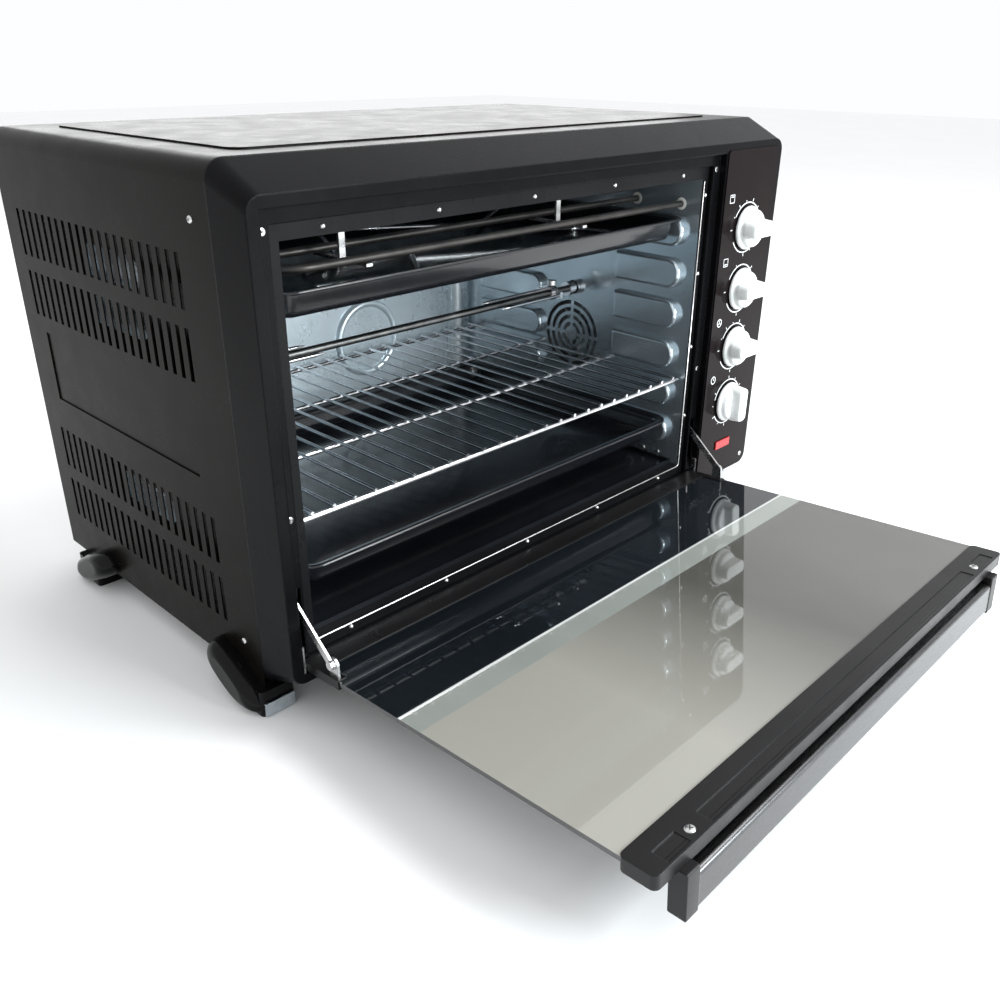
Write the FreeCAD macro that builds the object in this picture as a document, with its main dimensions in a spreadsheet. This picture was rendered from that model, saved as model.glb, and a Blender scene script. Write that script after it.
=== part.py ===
# Bench-top rotisserie oven, door folded down.  Millimetres.
# Modelled from the bezel face (y = 0) and the floor (z = 0), +Z up, the door faces -Y.
# Every finished piece is then moved so that the origin is on the floor under the middle of the whole,
# the open door included.
import FreeCAD, Part
import Sketcher
import math
import os
import re
from types import SimpleNamespace

V = FreeCAD.Vector
os.makedirs("parts", exist_ok=True)
doc = FreeCAD.newDocument("rotisserie_oven")

# ---------------------------------------------------------------- sizes
SIZES = [
    ("case_w", 708, "outer width of the painted case"),
    ("case_y0", 42, "front edge of the case, behind the bezel face"),
    ("case_y1", 428, "back face of the case"),
    ("case_z0", 25, "underside of the case above the table"),
    ("case_z1", 458, "top of the case"),
    ("case_r", 16, "bend at the long top edges"),
    ("skin", 1.2, "case sheet"),
    ("slot_w", 6, "louvre slot width"),
    ("slot_l", 43, "louvre slot length"),
    ("slot_n", 22, "slots in a row"),
    ("slot_y0", 95, "first slot"),
    ("slot_span", 298, "first slot to last slot"),
    ("slot_z0", 69, "bottom of the lowest row"),
    ("slot_rise", 57.5, "row to row in a pair"),
    ("slot_gap", 219, "lower pair to upper pair"),
    ("bez_w", 700, "width of the bezel face"),
    ("bez_z0", 42, "bottom of the bezel face"),
    ("bez_z1", 437, "top of the bezel face"),
    ("bez_r", 13, "bezel face corners"),
    ("bez_t", 1.6, "bezel wall"),
    ("rec_x0", -339, "door recess, left"),
    ("rec_x1", 237, "door recess, right"),
    ("rec_z0", 51, "door recess, bottom"),
    ("rec_z1", 427, "door recess, top"),
    ("strip_y", 8.4, "depth of the strip that the door closes over"),
    ("strip_w", 11, "strip width at the sides"),
    ("strip_top", 12, "strip width at the top"),
    ("strip_low", 8, "strip width at the bottom"),
    ("flange_y", 14, "front of the cavity flange"),
    ("lin_x0", -317, "cavity, left wall"),
    ("lin_x1", 217, "cavity, right wall"),
    ("lin_z0", 70, "cavity floor"),
    ("lin_z1", 402, "cavity ceiling"),
    ("lin_y1", 388, "cavity back wall"),
    ("lin_t", 1, "cavity sheet"),
    ("pad_top", 360.6, "top of the highest shelf pad"),
    ("pad_pitch", 46.6, "shelf level to shelf level"),
    ("pad_h", 32.5, "height of a shelf pad"),
    ("pad_t", 9, "how far the pads stand into the cavity"),
    ("pad_n", 6, "shelf levels"),
    ("pad_ya", 30, "front pads start"),
    ("pad_la", 90, "front pads length"),
    ("pad_yb", 236, "rear pads start"),
    ("pad_lb", 110, "rear pads length"),
    ("rest_gap", 0.3, "gap under a shelf that can slide"),
    ("side_gap", 2.5, "shelf to cavity wall, each side"),
    ("shelf_y0", 21.5, "front of the rack"),
    ("shelf_y1", 365.5, "back of the rack"),
    ("rack_bar", 5, "rack cross bar diameter"),
    ("rack_wire", 3.4, "rack wire diameter"),
    ("rack_n", 24, "rack wires"),
    ("tray_drop", 24, "depth of a baking tray"),
    ("tray_t", 0.9, "tray sheet"),
    ("tray_r", 18, "tray corner radius"),
    ("crumb_h", 5, "crumb tray height"),
    ("spit_y", 190, "spit axis"),
    ("spit_z", 258, "spit axis"),
    ("spit_d", 8, "spit rod"),
    ("fan_z", 199.5, "fan axis height"),
    ("fan_r", 42, "outside of the fan grille slots"),
    ("tube_d", 7, "heating tube"),
    ("tube_bend", 30, "bend radius of a heating tube"),
    ("up_z", 374, "upper heating tubes"),
    ("low_z", 88, "lower heating tubes"),
    ("heat_ya", 70, "front heating tube, middle"),
    ("heat_yb", 310, "rear heating tube, middle"),
    ("low_ya", 115, "front lower heating tube, middle"),
    ("low_yb", 285, "rear lower heating tube, middle"),
    ("panel_x0", 238.5, "control panel, left"),
    ("panel_x1", 342, "control panel, right"),
    ("panel_z0", 48, "control panel, bottom"),
    ("panel_z1", 430, "control panel, top"),
    ("panel_t", 1.6, "control panel thickness"),
    ("knob_x", 288, "knob column"),
    ("knob_z", 138.5, "lowest knob"),
    ("knob_rise", 69, "knob to knob"),
    ("knob_r", 24, "knob skirt radius"),
    ("knob_l", 24, "knob stands out from the panel"),
    ("shaft_d", 6, "control shaft"),
    ("fit", 0.06, "radial running clearance of pins and shafts"),
    ("hinge_y", 3.6, "door pivot"),
    ("hinge_z", 57, "door pivot"),
    ("pin_d", 4, "door hinge pin"),
    ("door_x0", -336, "door, left edge"),
    ("door_x1", 234, "door, right edge"),
    ("door_l", 359, "pivot to the free edge of the door"),
    ("door_tilt", 3.55, "open door stops this far above level, degrees"),
    ("glass_t", 4, "door glass"),
    ("trim_w", 29, "trim at the free edge"),
    ("low_w", 40, "trim at the hinge edge"),
    ("door_t", 8.4, "door trim thickness"),
    ("bar_l", 494, "handle bar length"),
    ("bar_out", 45, "handle bar stands off the door"),
    ("bar_h", 31, "handle bar height"),
    ("bar_t", 13, "handle bar thickness"),
    ("arm_s", 38, "link arm pin, along the door from the pivot"),
    ("arm_n", 15.5, "link arm pin, above the door"),
    ("arm_x", 283.5, "link arms, each side of the door middle"),
    ("end_w", 9, "end blocks of the hinge-edge trim"),
    ("arm_t", 2, "link arm thickness"),
    ("arm_l", 82, "link arm length"),
    ("arm_a", 40, "link arm slope, degrees"),
    ("slit_in", 4.2, "arm slot, inward from the arm"),
    ("slit_out", 3.6, "arm slot, outward from the arm"),
    ("slit_z1", 128, "arm slot top"),
    ("foot_w", 34, "foot block width"),
    ("foot_l", 44, "foot block length"),
    ("foot_y", 34, "front face of the front feet"),
    ("foot_gap", 34, "case back to the back face of the rear feet"),
    ("foot_out", 19, "foot lobe beyond the case side"),
    ("screw_r", 3, "screw head radius"),
]
sheet = doc.addObject("Spreadsheet::Sheet", "Dims")
for row, (alias, value, note) in enumerate(SIZES, start=1):
    sheet.set("A%d" % row, note)
    sheet.set("B%d" % row, str(value))
    sheet.setAlias("B%d" % row, alias)
doc.recompute()
D = SimpleNamespace(**{alias: float(sheet.get(alias)) for alias, value, note in SIZES})
ALIASES = {alias for alias, value, note in SIZES}
NODES = {}


def ex(text):
    """A formula in the named sizes, as an expression on the sheet."""
    if not isinstance(text, str):
        text = repr(text)
    return re.sub(
        r"[A-Za-z_]\w*",
        lambda m: "Dims." + m.group(0) if m.group(0) in ALIASES else m.group(0),
        text,
    )


def bind(obj, **formulas):
    for prop, text in formulas.items():
        obj.setExpression(prop.replace("__", "."), ex(text))
    return obj


def at(obj, x, y, z):
    return bind(
        obj,
        Placement__Base__x=x,
        Placement__Base__y=y,
        Placement__Base__z=z,
    )


def box(name, x0, x1, y0, y1, z0, z1):
    o = doc.addObject("Part::Box", name)
    bind(
        o,
        Length="(%s)-(%s)" % (x1, x0),
        Width="(%s)-(%s)" % (y1, y0),
        Height="(%s)-(%s)" % (z1, z0),
    )
    return at(o, x0, y0, z0)


TURN = {
    "x": FreeCAD.Rotation(V(0, 1, 0), 90),
    "y": FreeCAD.Rotation(V(1, 0, 0), -90),
    "z": FreeCAD.Rotation(),
}


def cyl(name, axis, x, y, z, radius, length):
    """A cylinder that starts at the point and runs up the axis."""
    o = doc.addObject("Part::Cylinder", name)
    o.Placement = FreeCAD.Placement(V(), TURN[axis])
    bind(o, Radius=radius, Height=length)
    return at(o, x, y, z)


def cone(name, axis, x, y, z, r1, r2, length):
    o = doc.addObject("Part::Cone", name)
    o.Placement = FreeCAD.Placement(V(), TURN[axis])
    bind(o, Radius1=r1, Radius2=r2, Height=length)
    return at(o, x, y, z)


def fuse(name, *shapes):
    o = doc.addObject("Part::MultiFuse", name)
    o.Shapes = list(shapes)
    return o


def group(name, *shapes):
    o = doc.addObject("Part::Compound", name)
    o.Links = list(shapes)
    return o


def cut(name, base, *tools):
    o = doc.addObject("Part::Cut", name)
    o.Base = base
    o.Tool = tools[0] if len(tools) == 1 else group(name + "_tools", *tools)
    return o


def rounded(name, base, radius, keep):
    """Fillet the edges of base whose middle point and direction pass keep(point, direction)."""
    doc.recompute()
    picked = []
    for i, e in enumerate(base.Shape.Edges, start=1):
        if e.Curve.TypeId != "Part::GeomLine":
            continue
        a, b = e.Vertexes[0].Point, e.Vertexes[-1].Point
        if keep((a + b) * 0.5, (b - a).normalize()):
            picked.append((i, radius, radius))
    o = doc.addObject("Part::Fillet", name)
    o.Base = base
    o.Edges = picked
    return o


def upright(point, direction):
    return abs(direction.z) > 0.99


MIDDLE_Y = "(case_y1+5+hinge_y-(door_l+6.5)*cos(door_tilt)-(bar_out+0.5)*sin(door_tilt))/2"


def node(name, obj):
    """Name a finished piece and set it in the frame, whose origin is under the middle of the whole."""
    whole = group("node_" + name, obj)
    bind(whole, Placement__Base__y="-" + MIDDLE_Y)
    whole.Label = name
    NODES[name] = whole
    return whole


def body(name):
    return doc.addObject("PartDesign::Body", name)


def sketch(owner, role, name, offset=None):
    sk = owner.newObject("Sketcher::SketchObject", name)
    plane = [f for f in owner.Origin.OriginFeatures if f.Role == role][0]
    sk.AttachmentSupport = (plane, [""])
    sk.MapMode = "FlatFace"
    if offset is not None:
        sk.setExpression("AttachmentOffset.Base.z", ex(offset))
    return sk


def rectangle(sk, left, low, width, height, guess):
    """A rectangle whose corner and size follow formulas; guess is where it starts."""
    x, y, w, h = guess
    n = sk.GeometryCount
    pts = [V(x, y, 0), V(x + w, y, 0), V(x + w, y + h, 0), V(x, y + h, 0)]
    for i in range(4):
        sk.addGeometry(Part.LineSegment(pts[i], pts[(i + 1) % 4]), False)
    for i in range(4):
        sk.addConstraint(Sketcher.Constraint("Coincident", n + i, 2, n + (i + 1) % 4, 1))
    for i in (0, 2):
        sk.addConstraint(Sketcher.Constraint("Horizontal", n + i))
        sk.addConstraint(Sketcher.Constraint("Vertical", n + i + 1))
    rules = (
        (Sketcher.Constraint("DistanceX", -1, 1, n, 1, x), left),
        (Sketcher.Constraint("DistanceY", -1, 1, n, 1, y), low),
        (Sketcher.Constraint("DistanceX", n, 1, n, 2, w), width),
        (Sketcher.Constraint("DistanceY", n + 1, 1, n + 1, 2, h), height),
    )
    for rule, text in rules:
        index = sk.addConstraint(rule)
        sk.setExpression("Constraints[%d]" % index, ex(text))


def pad(owner, sk, name, length, back=False, taper=None):
    p = owner.newObject("PartDesign::Pad", name)
    p.Profile = sk
    p.setExpression("Length", ex(length))
    p.Reversed = back
    if taper is not None:
        p.TaperAngle = taper
    owner.Tip = p
    return p


def feature(name, shape):
    o = doc.addObject("Part::Feature", name)
    o.Shape = shape
    return o


def round_rect(x0, x1, z0, z1, r, y):
    """A wire with round corners in a plane that faces the door."""
    c = [(x1 - r, z1 - r, 0), (x0 + r, z1 - r, 90)]
    c += [(x0 + r, z0 + r, 180), (x1 - r, z0 + r, 270)]
    ends, edges = [], []
    for cx, cz, start in c:
        p = []
        for k in (0, 45, 90):
            t = math.radians(start + k)
            p.append(V(cx + r * math.cos(t), y, cz + r * math.sin(t)))
        ends.append(p)
    for i, p in enumerate(ends):
        edges.append(Part.Arc(p[0], p[1], p[2]).toShape())
        edges.append(Part.makeLine(p[2], ends[(i + 1) % 4][0]))
    return Part.Wire(edges)


# ---------------------------------------------------------------- painted case
shell = body("case_shell_body")
sk = sketch(shell, "XZ_Plane", "case_outline")
x, z0, z1, r, t = D.case_w / 2, D.case_z0, D.case_z1, D.case_r, D.skin
flange = 14
path = [V(-x + flange, z0, 0), V(-x, z0, 0), V(-x, z1 - r, 0), V(-x + r, z1, 0)]
path += [V(x - r, z1, 0), V(x, z1 - r, 0), V(x, z0, 0), V(x - flange, z0, 0)]
path += [V(x - flange, z0 + t, 0), V(x - t, z0 + t, 0), V(x - t, z1 - r, 0), V(x - r, z1 - t, 0)]
path += [V(-x + r, z1 - t, 0), V(-x + t, z1 - r, 0), V(-x + t, z0 + t, 0), V(-x + flange, z0 + t, 0)]
arcs = {2: (V(-x + r, z1 - r, 0), r, 90, 180), 4: (V(x - r, z1 - r, 0), r, 0, 90)}
arcs[10] = (V(x - r, z1 - r, 0), r - t, 0, 90)
arcs[12] = (V(-x + r, z1 - r, 0), r - t, 90, 180)
for i, a in enumerate(path):
    b = path[(i + 1) % len(path)]
    if i in arcs:
        c, rad, lo, hi = arcs[i]
        circle = Part.Circle(c, V(0, 0, 1), rad)
        sk.addGeometry(Part.ArcOfCircle(circle, math.radians(lo), math.radians(hi)), False)
    else:
        sk.addGeometry(Part.LineSegment(a, b), False)
for i in range(sk.GeometryCount):
    sk.addConstraint(Sketcher.Constraint("Block", i))
sk.setExpression("AttachmentOffset.Base.z", ex("-case_y0"))
pad(shell, sk, "case_fold", "case_y1-skin-case_y0", back=True)
sk = sketch(shell, "YZ_Plane", "louvre")
rectangle(
    sk,
    "slot_y0-slot_w/2",
    "slot_z0",
    "slot_w",
    "slot_l",
    (D.slot_y0 - D.slot_w / 2, D.slot_z0, D.slot_w, D.slot_l),
)
louvre = shell.newObject("PartDesign::Pocket", "louvre_cut")
louvre.Profile = sk
louvre.Type = "ThroughAll"
louvre.Midplane = True
shell.Tip = louvre
multi = shell.newObject("PartDesign::MultiTransform", "louvre_rows")
multi.Originals = [louvre]
steps = []
ORIGIN = {f.Role: f for f in shell.Origin.OriginFeatures}
for name, role, length, count in (
    ("louvre_along", "Y_Axis", "slot_span", D.slot_n),
    ("louvre_pair", "Z_Axis", "slot_rise", 2),
    ("louvre_groups", "Z_Axis", "slot_gap", 2),
):
    p = shell.newObject("PartDesign::LinearPattern", name)
    p.Direction = (ORIGIN[role], [""])
    p.setExpression("Length", ex(length))
    p.Occurrences = int(count)
    steps.append(p)
multi.Transformations = steps
shell.Tip = multi

dents = []
for side, s in (("l", -1), ("r", 1)):
    outer = "%d*(case_w/2)" % s
    inner = "%d*(case_w/2-skin-1.3)" % s
    lo, hi = (outer, inner) if s < 0 else (inner, outer)
    dents.append(
        box("dent_" + side, lo, hi, "slot_y0+8", "slot_y0+slot_span-8", "slot_z0+131", "slot_z0+206")
    )
hollows = []
for side, s in (("l", -1), ("r", 1)):
    a = "%d*(case_w/2+1)" % s
    b = "%d*(case_w/2-1.3)" % s
    lo, hi = (a, b) if s < 0 else (b, a)
    hollows.append(
        box("hollow_" + side, lo, hi, "slot_y0+11", "slot_y0+slot_span-11", "slot_z0+134", "slot_z0+203")
    )
rise = box("top_rise", "-case_w/2+46", "case_w/2-46", "case_y0+34", "case_y1-40", "case_z1-skin", "case_z1+1.5")
rise = rounded("top_rise_r", rise, 14, upright)
case_solid = cut("case_solid", fuse("case_fused", shell, rise, *dents), *hollows)
node("case_shell", case_solid)

vents = []
for i in range(14):
    for j in range(3):
        vents.append(
            box(
                "rear_vent_%d_%d" % (i, j),
                "%d" % (170 + 11 * i - 90),
                "%d" % (175 + 11 * i - 90),
                "case_y1-skin-1",
                "case_y1+1",
                "case_z0+%d" % (70 + 70 * j),
                "case_z0+%d" % (110 + 70 * j),
            )
        )
gland_hole = cyl("gland_hole", "y", "case_w/2-60", "case_y1-5", "case_z0+45", 8, 10)
rear = box("rear_plate", "-case_w/2+0.5", "case_w/2-0.5", "case_y1-skin", "case_y1", "case_z0+0.5", "case_z1-0.5")
rear_round = rounded("rear_plate_r", rear, D.case_r - 0.5, lambda p, d: abs(d.y) > 0.99 and p.z > 200)
node("rear_cover", cut("rear_cut", rear_round, gland_hole, *vents))

base_slots = []
for i in range(16):
    for j in range(2):
        base_slots.append(
            box(
                "base_slot_%d_%d" % (i, j),
                "-case_w/2+80+%d" % (34 * i),
                "-case_w/2+86+%d" % (34 * i),
                "case_y0+70+%d" % (150 * j),
                "case_y0+150+%d" % (150 * j),
                "case_z0-1",
                "case_z0+5",
            )
        )
base = box("base_plate", "-case_w/2+14", "case_w/2-14", "case_y0", "case_y1-skin", "case_z0", "case_z0+skin")
node("base_pan", cut("base_cut", base, *base_slots))

# ---------------------------------------------------------------- bezel
w, wt = D.bez_w / 2, D.bez_t
cx = D.case_w / 2
front_out = round_rect(-w, w, D.bez_z0, D.bez_z1, D.bez_r, 0)
rear_out = round_rect(-cx, cx, D.case_z0, D.case_z1, D.case_r, D.case_y0)
front_in = round_rect(-w + wt, w - wt, D.bez_z0 + wt, D.bez_z1 - wt, D.bez_r - wt, wt)
rear_in = round_rect(
    -cx + wt, cx - wt, D.case_z0 + D.skin, D.case_z1 - wt, D.case_r - wt, D.case_y0 + 0.01
)
bezel_outside = feature("bezel_outside", Part.makeLoft([front_out, rear_out], True, True))
bezel_inside = feature("bezel_inside", Part.makeLoft([front_in, rear_in], True, True))
recess = box("recess", "rec_x0", "rec_x1", -1, "bez_t+1", "rec_z0", "rec_z1")
control_bores = []
for i in range(4):
    control_bores.append(
        cyl("bezel_bore_%d" % i, "y", "knob_x", -1, "knob_z+knob_rise*%d" % i, "shaft_d/2+2", "bez_t+3")
    )
lamp_hole = box("bezel_lamp_hole", "knob_x-13", "knob_x+13", -1, "bez_t+1", 79, 87)
bezel_wall = cut("bezel_wall", bezel_outside, bezel_inside, recess, lamp_hole, *control_bores)
jamb = cut(
    "jamb",
    box("jamb_out", "rec_x0-2", "rec_x1+2", 0, "strip_y+1.5", "rec_z0-2", "rec_z1+2"),
    box("jamb_in", "rec_x0", "rec_x1", -1, "strip_y", "rec_z0", "rec_z1"),
    box(
        "jamb_open",
        "rec_x0+strip_w",
        "rec_x1-strip_w",
        0,
        "strip_y+3",
        "rec_z0+strip_low",
        "rec_z1-strip_top",
    ),
)
step = cut(
    "step",
    box(
        "step_out",
        "rec_x0+strip_w-1.5",
        "rec_x1-strip_w+1.5",
        "strip_y",
        "flange_y",
        "rec_z0+strip_low-1.5",
        "rec_z1-strip_top+1.5",
    ),
    box(
        "step_in",
        "rec_x0+strip_w",
        "rec_x1-strip_w",
        "strip_y-1",
        "flange_y+1",
        "rec_z0+strip_low",
        "rec_z1-strip_top",
    ),
)
slits, pin_holes = [], []
mid = "(door_x0+door_x1)/2"
for side, s in (("l", -1), ("r", 1)):
    slits.append(
        box(
            "slit_" + side,
            "%s+%d*arm_x-%s" % (mid, s, "slit_out" if s < 0 else "slit_in"),
            "%s+%d*arm_x+%s" % (mid, s, "slit_in" if s < 0 else "slit_out"),
            "strip_y-0.5",
            "flange_y+6",
            "hinge_z+6",
            "slit_z1",
        )
    )
frame_solid = cut("frame_solid", fuse("frame_fused", bezel_wall, jamb, step), *slits)
node("front_frame", frame_solid)

flange_plate = cut(
    "flange_plate",
    box(
        "flange_out",
        "rec_x0+strip_w-1.5",
        "rec_x1-strip_w+1.5",
        "flange_y",
        "flange_y+lin_t",
        "rec_z0+strip_low-1.5",
        "rec_z1-strip_top+1.5",
    ),
    box("flange_in", "lin_x0", "lin_x1", "flange_y-1", "flange_y+3", "lin_z0", "lin_z1"),
    *slits
)
node("door_flange", flange_plate)

dots = []
for i in range(5):
    place = "%s+%d" % (mid, 114 * (i - 2))
    for row, z in (("low", "(lin_z0+rec_z0+strip_low)/2"), ("top", "(lin_z1+rec_z1-strip_top)/2")):
        dots.append(cyl("dot_%s_%d" % (row, i), "y", place, "flange_y-2.2", z, 2.4, 2.2))
for i in range(4):
    height = "lin_z0+%d" % (63 + 84 * i)
    for side, x in (("l", "(lin_x0+rec_x0+strip_w)/2"), ("r", "(lin_x1+rec_x1-strip_w)/2")):
        dots.append(cyl("dot_%s_%d" % (side, i), "y", x, "flange_y-2.2", height, 2.4, 2.2))
node("flange_bumpers", group("flange_bumpers_g", *dots))

# ---------------------------------------------------------------- cavity
back_y = "lin_y1"


def pad_outlines(sk, inset):
    """One D shape for each shelf pad, round end to the front."""
    k = D.pad_h / 2 - inset
    for i in range(int(D.pad_n)):
        for y, length in (("pad_ya", "pad_la"), ("pad_yb", "pad_lb")):
            yc = getattr(D, y) + D.pad_h / 2
            ye = getattr(D, y) + getattr(D, length) - inset
            zc = D.pad_top - D.pad_pitch * i - D.pad_h / 2
            n = sk.GeometryCount
            sk.addGeometry(Part.LineSegment(V(yc, zc - k, 0), V(ye, zc - k, 0)), False)
            sk.addGeometry(Part.LineSegment(V(ye, zc - k, 0), V(ye, zc + k, 0)), False)
            sk.addGeometry(Part.LineSegment(V(ye, zc + k, 0), V(yc, zc + k, 0)), False)
            round_end = Part.Circle(V(yc, zc, 0), V(0, 0, 1), k)
            sk.addGeometry(Part.ArcOfCircle(round_end, math.pi / 2, 3 * math.pi / 2), False)
            for j in range(2):
                sk.addConstraint(Sketcher.Constraint("Coincident", n + j, 2, n + j + 1, 1))
            sk.addConstraint(Sketcher.Constraint("Tangent", n + 2, 2, n + 3, 1))
            sk.addConstraint(Sketcher.Constraint("Tangent", n + 3, 2, n, 1))
            sk.addConstraint(Sketcher.Constraint("Horizontal", n))
            sk.addConstraint(Sketcher.Constraint("Vertical", n + 1))
            sk.addConstraint(Sketcher.Constraint("Horizontal", n + 2))
            middle = "pad_top-pad_pitch*%d-pad_h/2" % i
            rules = (
                (Sketcher.Constraint("DistanceX", -1, 1, n + 3, 3, yc), y + "+pad_h/2"),
                (Sketcher.Constraint("DistanceY", -1, 1, n + 3, 3, zc), middle),
                (Sketcher.Constraint("Radius", n + 3, k), "pad_h/2-%g" % inset),
                (Sketcher.Constraint("DistanceX", -1, 1, n, 2, ye), "%s+%s-%g" % (y, length, inset)),
            )
            for rule, text in rules:
                index = sk.addConstraint(rule)
                sk.setExpression("Constraints[%d]" % index, ex(text))


def shelf_pads(side, s):
    """A cavity side sheet with its pressed shelf pads."""
    b = body("liner_%s_body" % side)
    face = "lin_x0" if s < 0 else "lin_x1"
    sk = sketch(b, "YZ_Plane", "liner_%s_sheet" % side, face)
    y0 = D.flange_y + D.lin_t
    rectangle(
        sk,
        "flange_y+lin_t",
        "lin_z0",
        "lin_y1-flange_y-lin_t",
        "lin_z1-lin_z0",
        (y0, D.lin_z0, D.lin_y1 - y0, D.lin_z1 - D.lin_z0),
    )
    pad(b, sk, "liner_%s_plate" % side, "lin_t", back=s < 0)
    sk = sketch(b, "YZ_Plane", "liner_%s_pads" % side, face)
    pad_outlines(sk, 0)
    boss = pad(b, sk, "liner_%s_boss" % side, "pad_t", back=s > 0)
    doc.recompute()
    crest = (D.lin_x0 + D.pad_t) if s < 0 else (D.lin_x1 - D.pad_t)
    picked = []
    for i, e in enumerate(boss.Shape.Edges, start=1):
        if all(abs(v.Point.x - crest) < 0.01 for v in e.Vertexes):
            picked.append("Edge%d" % i)
    soft = b.newObject("PartDesign::Fillet", "liner_%s_soft" % side)
    soft.Base = (boss, picked)
    soft.Radius = 3.5
    b.Tip = soft
    back = "lin_x0-lin_t" if s < 0 else "lin_x1+lin_t"
    sk = sketch(b, "YZ_Plane", "liner_%s_hollows" % side, back)
    pad_outlines(sk, 1.2)
    press = b.newObject("PartDesign::Pocket", "liner_%s_press" % side)
    press.Profile = sk
    press.setExpression("Length", ex("pad_t+lin_t-1.4"))
    press.Reversed = s < 0
    b.Tip = press
    return b


left = shelf_pads("left", -1)
right = shelf_pads("right", 1)

fan_slots = []
for i in range(4):
    outer = "fan_r-%g" % (9.2 * i)
    ring = cut(
        "fan_ring_%d" % i,
        cyl("fan_ring_out_%d" % i, "x", "lin_x1-2", "spit_y", "fan_z", outer, 6),
        cyl("fan_ring_in_%d" % i, "x", "lin_x1-3", "spit_y", "fan_z", outer + "-5", 8),
        box(
            "spoke_z_%d" % i,
            "lin_x1-4",
            "lin_x1+6",
            "spit_y-2.2",
            "spit_y+2.2",
            "fan_z-fan_r-2",
            "fan_z+fan_r+2",
        ),
        box(
            "spoke_y_%d" % i,
            "lin_x1-4",
            "lin_x1+6",
            "spit_y-fan_r-2",
            "spit_y+fan_r+2",
            "fan_z-2.2",
            "fan_z+2.2",
        ),
    )
    fan_slots.append(ring)
spit_hole = cyl("spit_hole", "x", "lin_x1-2", "spit_y", "spit_z", 9, 6)
tube_holes = []
HEATERS = (("upper", "up_z", "heat_ya", "heat_yb"), ("lower", "low_z", "low_ya", "low_yb"))
for side, z, ya, yb in HEATERS:
    for place in (ya + "-tube_bend", ya + "+tube_bend", yb + "-tube_bend", yb + "+tube_bend"):
        name = "tube_hole_%s_%d" % (side, len(tube_holes))
        tube_holes.append(cyl(name, "x", "lin_x1-12", place, z, 6.5, 20))
node("liner_right", cut("liner_right_cut", right, spit_hole, *(fan_slots + tube_holes)))
node("liner_left", left)
back_disc = cyl("back_emboss", "y", "lin_x0+360", "lin_y1-1.8", 188, 42, 2.3)
back_bead = box("back_bead", "lin_x1-34", "lin_x1-14", "lin_y1-2", "lin_y1+0.5", "lin_z0+8", "lin_z1-8")
back_sheet = box(
    "back_sheet", "lin_x0-lin_t", "lin_x1+lin_t", "lin_y1", "lin_y1+lin_t", "lin_z0-lin_t", "lin_z1+lin_t"
)
node("liner_back", fuse("liner_back_f", back_sheet, back_disc, back_bead))
node(
    "liner_top",
    box(
        "liner_top_b",
        "lin_x0-lin_t",
        "lin_x1+lin_t",
        "flange_y+lin_t",
        "lin_y1",
        "lin_z1",
        "lin_z1+lin_t",
    ),
)
node(
    "liner_floor",
    box(
        "liner_floor_b",
        "lin_x0-lin_t",
        "lin_x1+lin_t",
        "flange_y+lin_t",
        "lin_y1",
        "lin_z0-lin_t",
        "lin_z0",
    ),
)

# ---------------------------------------------------------------- heating tubes


def hairpin(name, yc, z):
    """Two legs through the right wall, joined by a half turn near the left wall."""
    far = "lin_x0+pad_t+36"
    legs = []
    for k, s in enumerate((-1, 1)):
        legs.append(
            cyl(
                "%s_leg_%d" % (name, k),
                "x",
                far,
                "%s+%d*tube_bend" % (yc, s),
                z,
                "tube_d/2",
                "lin_x1+26-(%s)" % far,
            )
        )
    bend = doc.addObject("Part::Torus", name + "_bend")
    bind(bend, Radius1="tube_bend", Radius2="tube_d/2")
    bend.Angle3 = 180
    bend.Placement = FreeCAD.Placement(V(), FreeCAD.Rotation(V(0, 0, 1), 90))
    at(bend, far, yc, z)
    return fuse(name + "_tube", legs[0], legs[1], bend)


def ceramics(name, yc, z):
    out = []
    for k, s in enumerate((-1, 1)):
        place = "%s+%d*tube_bend" % (yc, s)
        n = "%s_%d" % (name, k)
        out.append(
            cut(
                n,
                fuse(
                    n + "_f",
                    cyl(n + "_neck", "x", "lin_x1-0.6", place, z, 6.3, "lin_t+0.6"),
                    cyl(n + "_cap", "x", "lin_x1+lin_t", place, z, 9, 14),
                ),
                cyl(n + "_bore", "x", "lin_x1-4", place, z, "tube_d/2", 30),
            )
        )
    return out


caps = []
for level, z, ya, yb in HEATERS:
    front = hairpin("heater_%s_front" % level, ya, z)
    rear_tube = hairpin("heater_%s_rear" % level, yb, z)
    node("heater_" + level, group("heater_%s_g" % level, front, rear_tube))
    caps += ceramics("cap_%s_front" % level, ya, z) + ceramics("cap_%s_rear" % level, yb, z)
node("heater_caps", group("heater_caps_g", *caps))

hangers = []
for i, x in enumerate(("lin_x0+92", "lin_x1-175")):
    for j, yc in enumerate(("heat_ya", "heat_yb")):
        n = "hanger_%d_%d" % (i, j)
        drop = box(
            n + "_drop", x, "%s+6" % x, "%s-1.2" % yc, "%s+1.2" % yc, "up_z-tube_d/2-2.4", "lin_z1"
        )
        foot = box(
            n + "_foot",
            x,
            "%s+6" % x,
            "%s-tube_bend-6" % yc,
            "%s+tube_bend+6" % yc,
            "up_z-tube_d/2-2.4",
            "up_z-tube_d/2",
        )
        hangers.append(fuse(n, drop, foot))
for j, yc in enumerate(("low_ya", "low_yb")):
    under = "low_z-tube_d/2-2.4"
    hangers.append(
        box("tongue_%d" % j, "lin_x0", "lin_x0+26", yc + "-9", yc + "+9", under, "low_z-tube_d/2")
    )
node("heater_brackets", group("heater_brackets_g", *hangers))

# ---------------------------------------------------------------- shelves
lip_x0 = "lin_x0+side_gap"
lip_x1 = "lin_x1-side_gap"


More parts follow.
